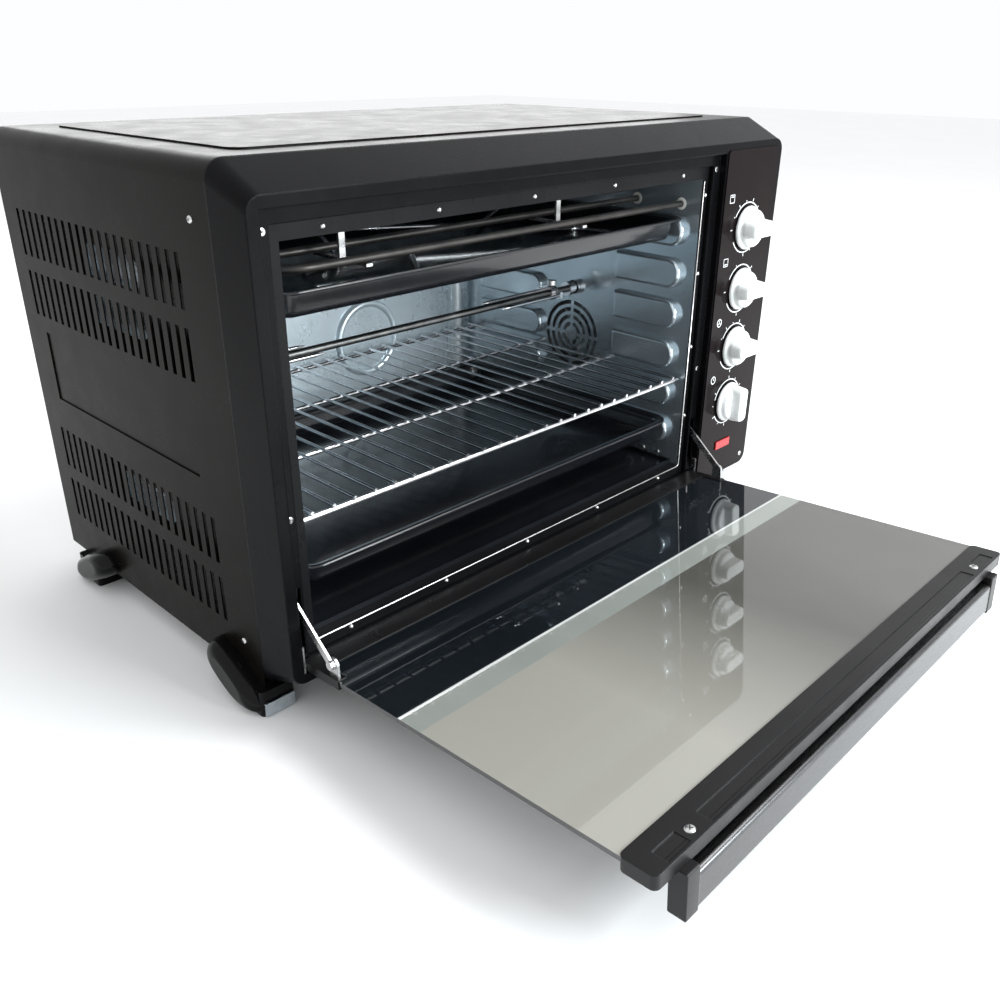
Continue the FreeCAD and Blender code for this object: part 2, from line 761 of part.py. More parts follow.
def tray(name, rest):
    """A pressed tray that hangs by its lips on a pair of shelf pads."""
    z = "(%s)+rest_gap" % rest
    cup_x0 = "lin_x0+pad_t+2"
    cup_x1 = "lin_x1-pad_t-2"
    lip = box(name + "_lip", lip_x0, lip_x1, "shelf_y0+4", "shelf_y1-4", z, z + "+tray_t")
    lip_r = rounded(name + "_lip_r", lip, D.tray_r * 0.6, upright)
    cup = box(name + "_cup", cup_x0, cup_x1, "shelf_y0+10", "shelf_y1-10", z + "-tray_drop", z + "+tray_t")
    cup_r = rounded(name + "_cup_r", cup, D.tray_r, upright)
    pocket = box(
        name + "_pocket",
        cup_x0 + "+tray_t",
        cup_x1 + "-tray_t",
        "shelf_y0+10+tray_t",
        "shelf_y1-10-tray_t",
        z + "-tray_drop+tray_t",
        z + "+tray_t+5",
    )
    pocket_r = rounded(name + "_pocket_r", pocket, D.tray_r - D.tray_t, upright)
    return cut(name + "_c", fuse(name + "_f", lip_r, cup_r), pocket_r)


node("upper_tray", tray("upper_tray_s", "pad_top"))
node("lower_tray", tray("lower_tray_s", "pad_top-pad_pitch*5"))

crumb = box("crumb_out", lip_x0, lip_x1, "shelf_y0+2.5", "shelf_y1+8", "lin_z0+rest_gap", "lin_z0+rest_gap+crumb_h")
crumb_in = box(
    "crumb_in",
    lip_x0 + "+1",
    lip_x1 + "-1",
    "shelf_y0+3.5",
    "shelf_y1+7",
    "lin_z0+rest_gap+1",
    "lin_z0+rest_gap+crumb_h+1",
)
node("crumb_tray", cut("crumb_c", crumb, crumb_in))

rack_z = "pad_top-pad_pitch*4+rest_gap+rack_bar/2"
rods = []
for i in range(4):
    y = "shelf_y0+rack_bar/2+(shelf_y1-shelf_y0-rack_bar)*%d/3" % i
    rods.append(cyl("rack_bar_%d" % i, "x", lip_x0, y, rack_z, "rack_bar/2", "(%s)-(%s)" % (lip_x1, lip_x0)))
for i in range(int(D.rack_n)):
    share = (i + 0.5) / D.rack_n
    x = "(%s)+((%s)-(%s))*%.5f" % (lip_x0, lip_x1, lip_x0, share)
    rods.append(
        cyl(
            "rack_wire_%d" % i,
            "y",
            x,
            "shelf_y0",
            "%s+rack_bar/2+rack_wire/2" % rack_z,
            "rack_wire/2",
            "shelf_y1-shelf_y0",
        )
    )
node("wire_rack", group("wire_rack_g", *rods))

# wires lying in the upper tray: the spit lifter and the tray grip
floor_z = D.pad_top + D.rest_gap - D.tray_drop + D.tray_t + 0.3


def bent_wire(name, points, diameter, bend):
    """A round wire along straight runs with rounded bends."""
    edges, here = [], points[0]
    for i in range(1, len(points) - 1):
        a, b, c = points[i - 1], points[i], points[i + 1]
        u, v = (a - b).normalize(), (c - b).normalize()
        half = u.getAngle(v) / 2
        reach = bend / math.tan(half)
        p, q = b + u * reach, b + v * reach
        m = (u + v).normalize()
        top = b + m * (bend / math.sin(half) - bend)
        edges.append(Part.makeLine(here, p))
        edges.append(Part.Arc(p, top, q).toShape())
        here = q
    edges.append(Part.makeLine(here, points[-1]))
    spine = Part.Wire(edges)
    start = Part.Wire([Part.makeCircle(diameter / 2, points[0], points[1] - points[0])])
    return feature(name, spine.makePipeShell([start], True, True))


wz = floor_z + 2.5
lifter = bent_wire(
    "spit_lifter_w",
    [
        V(-206, 150, wz),
        V(-137, 188, wz),
        V(-146, 206, wz + 21),
        V(-135, 236, wz + 21),
        V(73, 219, wz + 6),
        V(120, 250, wz + 2),
        V(176, 262, wz + 20),
        V(186, 272, wz),
    ],
    5,
    8,
)
node("spit_lifter", lifter)
grip = bent_wire(
    "tray_grip_w",
    [
        V(-225, 106, wz),
        V(-120, 92, wz),
        V(-68, 166, wz + 3),
        V(75, 130, wz + 10),
        V(165, 148, wz),
        V(176, 100, wz),
        V(140, 62, wz),
    ],
    5,
    8,
)
node("tray_grip", grip)

# ---------------------------------------------------------------- spit
rod_x0 = "lin_x0+3"
rod = cyl("spit_rod_c", "x", rod_x0, "spit_y", "spit_z", "spit_d/2", "lin_x1-6-(%s)" % rod_x0)
node("spit_rod", rod)
socket = cut(
    "socket_c",
    fuse(
        "socket_f",
        cyl("socket_out", "x", "lin_x1-14", "spit_y", "spit_z", 7.5, 36),
        cyl("socket_rim", "x", "lin_x1-14", "spit_y", "spit_z", 8.6, 8),
    ),
    cyl("socket_bore", "x", "lin_x1-15", "spit_y", "spit_z", "spit_d/2+fit", 10),
)

forks, thumb = [], []
for side, s, x in (("l", 1, "lin_x0+38"), ("r", -1, "lin_x1-38")):
    start = x if s > 0 else "%s-11" % x
    hub = cyl("fork_hub_" + side, "x", start, "spit_y", "spit_z", 9, 11)
    bridge = box(
        "fork_bridge_" + side,
        start + "+3",
        start + "+7",
        "spit_y-19",
        "spit_y+19",
        "spit_z-4",
        "spit_z+4",
    )
    prongs = []
    for k, e in enumerate((-1, 1)):
        root = start + "+3"
        if s > 0:
            prongs.append(
                cyl("prong_%s_%d" % (side, k), "x", root, "spit_y+%d" % (17 * e), "spit_z", 2, 92)
            )
            prongs.append(
                cone(
                    "prong_tip_%s_%d" % (side, k),
                    "x",
                    root + "+92",
                    "spit_y+%d" % (17 * e),
                    "spit_z",
                    2,
                    0.4,
                    10,
                )
            )
        else:
            prongs.append(
                cyl("prong_%s_%d" % (side, k), "x", root + "-88", "spit_y+%d" % (17 * e), "spit_z", 2, 92)
            )
            prongs.append(
                cone(
                    "prong_tip_%s_%d" % (side, k),
                    "x",
                    root + "-98",
                    "spit_y+%d" % (17 * e),
                    "spit_z",
                    0.4,
                    2,
                    10,
                )
            )
    fork = cut(
        "fork_" + side,
        fuse("fork_f_" + side, hub, bridge, *prongs),
        cyl("fork_bore_" + side, "x", start + "-1", "spit_y", "spit_z", "spit_d/2+fit", 13),
        cyl("fork_thread_" + side, "z", start + "+8.5", "spit_y", "spit_z", 2.06, 12),
    )
    forks.append(fork)
    stem = cyl("thumb_stem_" + side, "z", start + "+8.5", "spit_y", "spit_z+spit_d/2+fit", 2, 8)
    head = cyl("thumb_head_" + side, "z", start + "+8.5", "spit_y", "spit_z+9.6", 5.5, 5)
    thumb.append(fuse("thumb_" + side, stem, head))
node("spit_forks", group("spit_forks_g", *forks))
node("fork_screws", group("fork_screws_g", *thumb))

bearing = cut(
    "spit_bearing_c",
    box("bearing_b", "lin_x0", "lin_x0+7", "spit_y-15", "spit_y+15", "spit_z-16", "spit_z+8"),
    cyl("bearing_v", "x", "lin_x0+2", "spit_y", "spit_z", "spit_d/2+0.5", 10),
    box(
        "bearing_open",
        "lin_x0+2",
        "lin_x0+9",
        "spit_y-spit_d/2-0.5",
        "spit_y+spit_d/2+0.5",
        "spit_z",
        "spit_z+12",
    ),
)
node("spit_bearing", bearing)

motor = cyl("spit_motor_can", "x", "lin_x1+33", "spit_y", "spit_z+18", 27, 24)
motor_nose = cyl("spit_motor_nose", "x", "lin_x1+29", "spit_y", "spit_z", 6, 5)
ears = box(
    "spit_motor_ears", "lin_x1+33", "lin_x1+35", "spit_y-36", "spit_y+36", "spit_z+11", "spit_z+25"
)
drive = cyl("spit_motor_shaft", "x", "lin_x1+18", "spit_y", "spit_z", 3, 14)
socket_back = cyl("socket_back_bore", "x", "lin_x1+16", "spit_y", "spit_z", "3+fit", 10)
socket_drilled = cut("socket_drilled", socket, socket_back)
node("drive_socket", socket_drilled)
posts = []
for s in (-1, 1):
    posts.append(
        cyl(
            "motor_post_%d" % (s + 1),
            "x",
            "lin_x1+lin_t",
            "spit_y+%d" % (31 * s),
            "spit_z+18",
            3.5,
            "33-lin_t",
        )
    )
node("spit_motor", fuse("spit_motor_f", motor, motor_nose, ears, drive, *posts))

# ---------------------------------------------------------------- fan
blades = []
for i in range(7):
    blade = doc.addObject("Part::Box", "blade_%d" % i)
    bind(blade, Length=12, Width="fan_r-14", Height=1.2)
    a = i * 360.0 / 7
    turn = FreeCAD.Rotation(V(1, 0, 0), a)
    pitch = FreeCAD.Rotation(V(0, 1, 0), 30)
    offset = turn.multVec(V(-5, 6, 0))
    blade.Placement = FreeCAD.Placement(V(), turn.multiply(pitch))
    at(
        blade,
        "lin_x1+13+(%.4f)" % offset.x,
        "spit_y+(%.4f)" % offset.y,
        "fan_z+(%.4f)" % offset.z,
    )
    blades.append(blade)
hub = cyl("fan_hub", "x", "lin_x1+6", "spit_y", "fan_z", 9, 14)
hub_bore = cyl("fan_hub_bore", "x", "lin_x1+10", "spit_y", "fan_z", "2.5+fit", 12)
node("fan_blade", cut("fan_blade_c", fuse("fan_blade_f", hub, *blades), hub_bore))
shroud = cut(
    "shroud_c",
    cyl("shroud_out", "x", "lin_x1+lin_t", "spit_y", "fan_z", "fan_r+5", 26),
    cyl("shroud_in", "x", "lin_x1+lin_t-1", "spit_y", "fan_z", "fan_r+4", 26),
    cyl("shroud_hole", "x", "lin_x1+20", "spit_y", "fan_z", 4, 12),
)
node("fan_shroud", shroud)
fan_can = cyl("fan_motor_can", "x", "lin_x1+lin_t+26", "spit_y", "fan_z", 21, 30)
fan_axle = cyl("fan_axle", "x", "lin_x1+11", "spit_y", "fan_z", 2.5, 18)
node("fan_motor", fuse("fan_motor_f", fan_can, fan_axle))

# ---------------------------------------------------------------- control panel
panel = box("panel_b", "panel_x0", "panel_x1", "-panel_t", 0, "panel_z0", "panel_z1")
panel_r = rounded("panel_r", panel, 5, lambda p, d: abs(d.y) > 0.99)
panel_bores = []
for i in range(4):
    panel_bores.append(
        cyl("panel_bore_%d" % i, "y", "knob_x", -5, "knob_z+knob_rise*%d" % i, "shaft_d/2+1.5", 8)
    )
panel_lamp = box("panel_lamp", "knob_x-13", "knob_x+13", -5, 2, 79, 87)
node("control_panel", cut("panel_c", panel_r, panel_lamp, *panel_bores))

knob_gap = 0.5
units = []
for i in range(4):
    z = "knob_z+knob_rise*%d" % i
    b = body("knob_body_%d" % i)
    sk = sketch(b, "XY_Plane", "knob_profile_%d" % i)
    r, l = D.knob_r, D.knob_l
    pts = [(0, 0), (r, 0), (r, 3.5), (r - 3, 6), (r - 6, l - 12), (0, l - 12)]
    for k, (px, pz) in enumerate(pts):
        qx, qz = pts[(k + 1) % len(pts)]
        sk.addGeometry(Part.LineSegment(V(px, pz, 0), V(qx, qz, 0)), False)
    for k in range(len(pts)):
        sk.addConstraint(Sketcher.Constraint("Coincident", k, 2, (k + 1) % len(pts), 1))
    sk.addConstraint(Sketcher.Constraint("Coincident", 0, 1, -1, 1))
    sk.addConstraint(Sketcher.Constraint("Horizontal", 0))
    sk.addConstraint(Sketcher.Constraint("Vertical", 1))
    sk.addConstraint(Sketcher.Constraint("Horizontal", 4))
    sk.addConstraint(Sketcher.Constraint("Vertical", 5))
    rules = (
        (Sketcher.Constraint("DistanceX", 0, 1, 0, 2, r), "knob_r"),
        (Sketcher.Constraint("DistanceY", 1, 1, 1, 2, 3.5), "knob_l*0.146"),
        (Sketcher.Constraint("DistanceX", 2, 2, 2, 1, 3), "knob_r/8"),
        (Sketcher.Constraint("DistanceY", 2, 1, 2, 2, 2.5), "knob_l*0.104"),
        (Sketcher.Constraint("DistanceX", 4, 2, 4, 1, r - 6), "knob_r*0.75"),
        (Sketcher.Constraint("DistanceY", -1, 1, 4, 1, l - 12), "knob_l/2"),
    )
    for rule, text in rules:
        index = sk.addConstraint(rule)
        sk.setExpression("Constraints[%d]" % index, ex(text))
    rev = b.newObject("PartDesign::Revolution", "knob_turned_%d" % i)
    rev.Profile = sk
    rev.ReferenceAxis = (sk, ["V_Axis"])
    rev.Angle = 360
    b.Tip = rev
    b.Placement = FreeCAD.Placement(V(), FreeCAD.Rotation(V(1, 0, 0), 180))
    at(b, "knob_x", "-panel_t-%g" % knob_gap, z)
    if i == 0:
        grip_box = box(
            "knob_grip_%d" % i,
            "knob_x-knob_r*0.27",
            "knob_x+knob_r*0.27",
            "-panel_t-knob_l",
            "-panel_t-knob_l*0.3",
            z + "-knob_r*0.94",
            z + "+knob_r*0.94",
        )
    else:
        grip_box = box(
            "knob_grip_%d" % i,
            "knob_x-knob_r*0.94",
            "knob_x+knob_r*0.94",
            "-panel_t-knob_l",
            "-panel_t-knob_l*0.3",
            z + "-knob_r*0.27",
            z + "+knob_r*0.27",
        )
    grip_r = rounded("knob_grip_r_%d" % i, grip_box, 3, lambda p, d: p.y < -D.panel_t - D.knob_l + 1 or abs(d.y) > 0.99)
    bore = cyl("knob_bore_%d" % i, "y", "knob_x", "-panel_t-knob_l*0.6", z, "shaft_d/2+fit", "knob_l")
    node("knob_%d" % (i + 1), cut("knob_c_%d" % i, fuse("knob_f_%d" % i, b, grip_r), bore))
    shaft = cyl("shaft_s_%d" % i, "y", "knob_x", "-panel_t-knob_l*0.55", z, "shaft_d/2", "panel_t+knob_l*0.55+bez_t+8")
    node("shaft_%d" % (i + 1), shaft)
    neck = cyl("unit_neck_%d" % i, "y", "knob_x", "bez_t", z, 10, 4)
    socket_hole = cyl("unit_hole_%d" % i, "y", "knob_x", 0, z, "shaft_d/2+fit", "bez_t+10")
    if i in (2, 3):
        can = cyl("unit_can_%d" % i, "y", "knob_x", "bez_t+4", z, 19, 22)
    elif i == 0:
        can = box("unit_can_%d" % i, "knob_x-26", "knob_x+26", "bez_t+4", "bez_t+44", z + "-26", z + "+26")
    else:
        can = box("unit_can_%d" % i, "knob_x-18", "knob_x+18", "bez_t+4", "bez_t+32", z + "-18", z + "+18")
    units.append(cut("unit_c_%d" % i, fuse("unit_f_%d" % i, neck, can), socket_hole))
node("timer", units[0])
node("function_switch", units[1])
node("thermostats", group("thermostats_g", units[2], units[3]))

lens = fuse(
    "lens_f",
    box("lens_face", "knob_x-15", "knob_x+15", "-panel_t-1.6", "-panel_t", 78, 88),
    box("lens_body", "knob_x-12.8", "knob_x+12.8", "-panel_t", "bez_t+9", 79.2, 86.8),
)
node("indicator_lamp", lens)

# ---------------------------------------------------------------- door, modelled lying level, then tilted
NORMAL_Z = "hinge_z"


def on_door(obj):
    """Tilt a piece modelled on the level door about the pivot."""
    obj.Placement = FreeCAD.Placement(V(), FreeCAD.Rotation(V(1, 0, 0), -1))
    bind(
        obj,
        Placement__Rotation__Angle="-door_tilt",
        Placement__Base__y="hinge_y*(1-cos(door_tilt))-hinge_z*sin(door_tilt)",
        Placement__Base__z="hinge_z*(1-cos(door_tilt))+hinge_y*sin(door_tilt)",
    )
    return obj


def door_box(name, x0, x1, s0, s1, n0, n1):
    """s is measured from the pivot along the door, n up from the pivot."""
    return box(name, x0, x1, "hinge_y-(%s)" % s1, "hinge_y-(%s)" % s0, "hinge_z+(%s)" % n0, "hinge_z+(%s)" % n1)


half_t = "door_t/2"
glass = door_box("glass_b", "door_x0+1", "door_x1-1", 14, "door_l-6", "door_t/2-glass_t-0.9", "door_t/2-0.9")
glass_notches = [
    door_box("glass_notch_l", "door_x0", "door_x0+end_w+0.3", 0, "arm_s+9", -5, 5),
    door_box("glass_notch_r", "door_x1-end_w-0.3", "door_x1", 0, "arm_s+9", -5, 5),
]
node("door_glass", on_door(cut("glass_c", rounded("glass_r", glass, 3, upright), *glass_notches)))

low_solid = fuse(
    "low_f",
    door_box("low_block", "door_x0", "door_x1", 0, 22, "-door_t/2", half_t),
    cyl("low_round", "x", "door_x0", "hinge_y", "hinge_z", half_t, "door_x1-door_x0"),
    door_box("low_under", "door_x0", "door_x1", 10, "low_w", "-door_t/2", "door_t/2-glass_t-1.2"),
    door_box("low_end_l", "door_x0", "door_x0+end_w", 10, "arm_s+8.7", "-door_t/2", half_t),
    door_box("low_end_r", "door_x1-end_w", "door_x1", 10, "arm_s+8.7", "-door_t/2", half_t),
)
ears = []
for side, s in (("l", -1), ("r", 1)):
    arm_mid = "%s+%d*arm_x" % (mid, s)
    near, far = "%s-(%d)*(arm_t/2+0.4)" % (arm_mid, s), "%s-(%d)*(arm_t/2+2.6)" % (arm_mid, s)
    lo, hi = (near, far) if s < 0 else (far, near)
    blade = door_box("ear_b_" + side, lo, hi, "arm_s-6", "arm_s+6", "1-door_t/2", "arm_n")
    crown = cyl("ear_r_" + side, "x", lo, "hinge_y-arm_s", "hinge_z+arm_n", 6, 2.2)
    inner = "arm_t/2+0.5"
    outer = "arm_t/2+0.4"
    start = "%s-(%s)" % (arm_mid, outer if s < 0 else inner)
    stud = cyl("stud_" + side, "x", start, "hinge_y-arm_s", "hinge_z+arm_n", 2.5, "arm_t+0.9")
    start = "%s-(arm_t/2+1.5)" % arm_mid if s < 0 else "%s+(arm_t/2+0.3)" % arm_mid
    head = cyl("stud_head_" + side, "x", start, "hinge_y-arm_s", "hinge_z+arm_n", 4, 1.2)
    ears.append((blade, fuse("ear_" + side, blade, crown, stud, head)))
low_trim = cut(
    "low_c",
    low_solid,
    door_box(
        "low_groove", "door_x0+0.7", "door_x1-0.7", 13.7, 22, "door_t/2-glass_t-1.2", "door_t/2-0.8"
    ),
    door_box(
        "low_groove_l", "door_x0+end_w", "door_x0+end_w+2", 10, 60, "door_t/2-glass_t-1.2", "door_t/2-0.8"
    ),
    cyl("low_pin_l", "x", "door_x0-1", "hinge_y", "hinge_z", "pin_d/2", 17),
    cyl("low_pin_r", "x", "door_x1-16", "hinge_y", "hinge_z", "pin_d/2", 17),
    ears[0][0],
    ears[1][0],
)
node("door_low_trim", on_door(low_trim))
node("arm_ears", on_door(group("arm_ears_g", ears[0][1], ears[1][1])))

top_solid = door_box("top_block", "door_x0", "door_x1", "door_l-trim_w", "door_l", "-door_t/2-3", half_t)
top_round = rounded("top_block_r", top_solid, 5, upright)
top_trim = cut(
    "top_c",
    top_round,
    door_box("top_groove", "door_x0+0.7", "door_x1-0.7", "door_l-trim_w-1", "door_l-5.7", "door_t/2-glass_t-0.9", "door_t/2-0.8"),
    door_box("top_slot_a", "door_x0+64", "door_x1-64", "door_l-15", "door_l-2.6", "door_t/2-0.6", "door_t/2+2"),
    door_box("top_slot_b", "door_x0+16", "door_x0+40", "door_l-15", "door_l-2.6", "door_t/2-0.6", "door_t/2+2"),
    door_box("top_slot_c", "door_x1-40", "door_x1-16", "door_l-15", "door_l-2.6", "door_t/2-0.6", "door_t/2+2"),
)
node("door_top_trim", on_door(top_trim))

door_screws = []
for i, x in enumerate(("door_x0+48", "door_x1-48")):
    door_screws.append(
        cyl("door_screw_%d" % i, "z", x, "hinge_y-(door_l-9)", "hinge_z+door_t/2", 4, 1.4)
    )
node("door_screws", on_door(group("door_screws_g", *door_screws)))

bar_x0 = "(door_x0+door_x1)/2-bar_l/2"
bar_x1 = "(door_x0+door_x1)/2+bar_l/2"
bar = door_box("bar_b", bar_x0, bar_x1, "door_l-bar_t+6", "door_l+6", "-bar_out", "bar_h-bar_out")
bar_r = rounded("bar_r", bar, 4, lambda p, d: abs(d.x) > 0.99)
bar_hollow = door_box("bar_in", bar_x0 + "-1", bar_x1 + "+1", "door_l-bar_t+8", "door_l+4", "2-bar_out", "bar_h-bar_out-2")
node("handle_bar", on_door(cut("bar_c", bar_r, bar_hollow)))
handle_ends = []
for side, s, x in (("left", -1, bar_x0), ("right", 1, bar_x1)):
    x0, x1 = ("%s-14" % x, x) if s < 0 else (x, "%s+14" % x)
    block = door_box("bracket_%s_b" % side, x0, x1, "door_l-bar_t+5", "door_l+6.5", "-bar_out-0.5", "-door_t/2-3")
    foot = door_box("bracket_%s_foot" % side, x0, x1, "door_l-24", "door_l-2", "-door_t/2-7", "-door_t/2-3")
    plug_x0, plug_x1 = (x0, "%s+8" % x) if s < 0 else ("%s-8" % x, x1)
    plug = door_box(
        "bracket_%s_plug" % side, plug_x0, plug_x1, "door_l-bar_t+8.3", "door_l+3.7", "2.3-bar_out", "bar_h-bar_out-2.3"
    )
    handle_ends.append(fuse("bracket_%s_f" % side, block, foot, plug))

node("handle_ends", on_door(group("handle_ends_g", *handle_ends)))
plate_t = 1.8
pins = [
    cyl("hinge_pin_l", "x", "rec_x0+0.2", "hinge_y", "hinge_z", "pin_d/2", "door_x0+16-rec_x0-0.2"),
    cyl("hinge_pin_r", "x", "door_x1-16", "hinge_y", "hinge_z", "pin_d/2", "rec_x1-0.2-door_x1+16"),
]
node("hinge_pins", group("hinge_pins_g", *pins))

# ---------------------------------------------------------------- hinge plates, link arms
plates = []
for side, x0, x1 in (("l", "rec_x0", "rec_x0+1.8"), ("r", "rec_x1-1.8", "rec_x1")):
    plates.append(
        cut(
            "plate_" + side,
            box("plate_b_" + side, x0, x1, 0.6, "strip_y", "rec_z0", "rec_z0+26"),
            cyl("plate_bore_" + side, "x", x0 + "-1", "hinge_y", "hinge_z", "pin_d/2+fit", 4),
        )
    )
node("hinge_plates", group("hinge_plates_g", *plates))

doc.recompute()
for side, s in (("left", -1), ("right", 1)):
    a = math.radians(D.door_tilt)
    py = D.hinge_y - D.arm_s * math.cos(a) + D.arm_n * math.sin(a)
    pz = D.hinge_z + D.arm_s * math.sin(a) + D.arm_n * math.cos(a)
    xm = (D.door_x0 + D.door_x1) / 2 + s * D.arm_x
    flat = Part.makeBox(D.arm_t, D.arm_l, 7, V(-D.arm_t / 2, 0, -3.5))
    flat = flat.fuse(Part.makeCylinder(4.6, D.arm_t, V(-D.arm_t / 2, 0, 0), V(1, 0, 0)))
    flat = flat.fuse(Part.makeCylinder(3.5, D.arm_t, V(-D.arm_t / 2, D.arm_l, 0), V(1, 0, 0)))
    flat = flat.cut(Part.makeCylinder(2.5 + D.fit, 20, V(-10, 0, 0), V(1, 0, 0)))
    arm = feature("arm_" + side, flat.removeSplitter())
    arm.Placement = FreeCAD.Placement(V(xm, py, pz), FreeCAD.Rotation(V(1, 0, 0), D.arm_a))
    node("link_arm_" + side, arm)

# ---------------------------------------------------------------- feet
def lobe_outline(size, out):
    """Side view of the outer lobe of a front foot, a closed smooth curve out from the case side."""
    y, z, l = D.foot_y, D.case_z0, D.foot_l
    points = [
        (y + 0.10 * l, 0.12 * z),
        (y + 0.55 * l, 0.06 * z),
        (y + 1.10 * l, 0.40 * z),
        (y + 1.60 * l, 0.90 * z),
        (y + 1.85 * l, 1.45 * z),
        (y + 1.68 * l, 1.90 * z),
        (y + 1.27 * l, 1.88 * z),
        (y + 0.78 * l, 1.50 * z),
        (y + 0.34 * l, 1.05 * z),
        (y + 0.10 * l, 0.60 * z),
    ]
    cy = sum(py for py, pz in points) / len(points)
    cz = sum(pz for py, pz in points) / len(points)
    x = -D.case_w / 2 - out * D.foot_out
    points = [V(x, cy + (py - cy) * size, cz + (pz - cz) * size) for py, pz in points]
    curve = Part.BSplineCurve()
    curve.interpolate(points, PeriodicFlag=True)
    return Part.Wire([curve.toShape()])


STEPS = ((1.0, 0.0), (0.99, 0.35), (0.93, 0.65), (0.80, 0.88), (0.58, 1.0))
lobe = Part.makeLoft([lobe_outline(size, out) for size, out in STEPS], True, False)
block_x0 = -D.case_w / 2 - 9
block = Part.makeBox(D.foot_w, D.foot_l, D.case_z0, V(block_x0, D.foot_y, 0))
block = block.makeFillet(4, [e for e in block.Edges if abs(e.tangentAt(0).z) > 0.9])
foot = lobe.fuse(block).removeSplitter()
face = Part.makeBox(D.foot_w - 4, 2.4, 13, V(block_x0 + 2, D.foot_y - 2.4, 1))
middle = V(0, (D.foot_y + D.case_y1 - D.foot_gap) / 2, 0)
feet, faces = [], []
for shape, store in ((foot, feet), (face, faces)):
    across = shape.mirror(V(), V(1, 0, 0))
    for k, one in enumerate((shape, across)):
        store.append(feature("%s_%d" % (("foot", "foot_face")[store is faces], 2 * k), one))
        back = one.mirror(middle, V(0, 1, 0))
        store.append(feature("%s_%d" % (("foot", "foot_face")[store is faces], 2 * k + 1), back))
node("feet", group("feet_g", *feet))
node("foot_faces", group("foot_faces_g", *faces))

# ---------------------------------------------------------------- fixings and small parts
heads = []
for i, (x, z) in enumerate((("-case_w/2", 415), ("-case_w/2", 60), ("case_w/2", 415), ("case_w/2", 60))):
    start = "%s-1.6" % x if x.startswith("-") else x
    heads.append(cyl("case_head_%d" % i, "x", start, "case_y0+25", z, "screw_r", 1.6))
for i, x in enumerate((-330, -110, 110, 330)):
    for j, z in enumerate(("case_z0+14", "case_z1-22")):
        heads.append(cyl("rear_head_%d_%d" % (i, j), "y", x, "case_y1", z, "screw_r", 1.6))
strip_heads = []
for i, (x, z) in enumerate(
    (("rec_x0+strip_w/2", "rec_z1-16"), ("rec_x1-strip_w/2", "rec_z1-16"), ("rec_x0+strip_w/2", 190), ("rec_x1-strip_w/2", 190))
):
    strip_heads.append(cyl("strip_head_%d" % i, "y", x, "strip_y-0.4", z, "screw_r", 0.4))
strip_heads.append(cyl("panel_head", "y", "panel_x1-7", "-panel_t-1.2", "panel_z0+8", "screw_r", 1.2))
wall_heads = []
for i, y in enumerate((44, 66)):
    wall_heads.append(cyl("wall_head_%d" % i, "x", "lin_x1-1.6", y, "lin_z0+9", 2.6, 1.6))
node("case_screws", group("case_screws_g", *(heads + strip_heads + wall_heads)))
gland = cut(
    "gland_c",
    fuse(
        "gland_f",
        cyl("gland_neck", "y", "case_w/2-60", "case_y1-7", "case_z0+45", 7.9, 7),
        cyl("gland_flange", "y", "case_w/2-60", "case_y1", "case_z0+45", 11, 5),
        cyl("gland_nut", "y", "case_w/2-60", "case_y1-skin-4", "case_z0+45", 11, 4),
    ),
    cyl("gland_bore", "y", "case_w/2-60", "case_y1-10", "case_z0+45", 4, 20),
)
node("cord_gland", gland)
block = box("terminal_b", "case_w/2-100", "case_w/2-50", "case_y1-110", "case_y1-90", "case_z0+skin", "case_z0+skin+24")
node("terminal_block", block)
holder = []
holder.append(box("liner_foot_l", "lin_x0+30", "lin_x0+34", "case_y0+40", "case_y1-80", "case_z0+skin", "lin_z0-lin_t"))
holder.append(box("liner_foot_r", "lin_x1-34", "lin_x1-30", "case_y0+40", "case_y1-80", "case_z0+skin", "lin_z0-lin_t"))
node("liner_rails", group("liner_rails_g", *holder))

# ---------------------------------------------------------------- checks and export
doc.recompute()
bad = [o.Name for o in doc.Objects if "Invalid" in o.State or "Error" in o.State]
if bad:
    raise SystemExit("objects not computed: %s" % bad)
for name, obj in NODES.items():
    shape = obj.Shape
    if shape.isNull() or not shape.isValid() or not shape.Solids:
        raise SystemExit("bad shape: %s" % name)
for name, obj in NODES.items():
    obj.Shape.exportStep("parts/%s.step" % name)
    print(name, len(obj.Shape.Solids), "solids", round(obj.Shape.Volume / 1000.0, 2), "cm3")
print(len(NODES), "nodes")
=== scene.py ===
import math
import random

import bmesh
import bpy
from mathutils import Matrix, Vector


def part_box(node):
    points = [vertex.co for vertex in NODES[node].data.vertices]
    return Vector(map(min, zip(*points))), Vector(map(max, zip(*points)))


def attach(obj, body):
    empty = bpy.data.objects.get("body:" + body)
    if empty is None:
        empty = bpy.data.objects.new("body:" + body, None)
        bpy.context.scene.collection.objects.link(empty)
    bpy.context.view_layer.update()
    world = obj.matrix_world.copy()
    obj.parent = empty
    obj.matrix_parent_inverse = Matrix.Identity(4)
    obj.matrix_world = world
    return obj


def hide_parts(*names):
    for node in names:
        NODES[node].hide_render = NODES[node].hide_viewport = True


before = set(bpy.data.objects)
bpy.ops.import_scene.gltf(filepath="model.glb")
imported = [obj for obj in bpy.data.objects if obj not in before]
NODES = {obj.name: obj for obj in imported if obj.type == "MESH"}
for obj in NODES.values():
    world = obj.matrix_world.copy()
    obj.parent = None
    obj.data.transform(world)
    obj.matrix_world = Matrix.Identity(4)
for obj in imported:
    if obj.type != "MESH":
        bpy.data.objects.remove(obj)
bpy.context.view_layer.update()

# Rotisserie oven with its door folded down. Metres: x to the right, y to the back, z up.
random.seed(7)
SCENE = bpy.context.scene


# ------------------------------------------------------------------ places, read from the frame
def lo(node):
    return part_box(node)[0]


def hi(node):
    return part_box(node)[1]


def mid(node):
    a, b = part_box(node)
    return (a + b) * 0.5


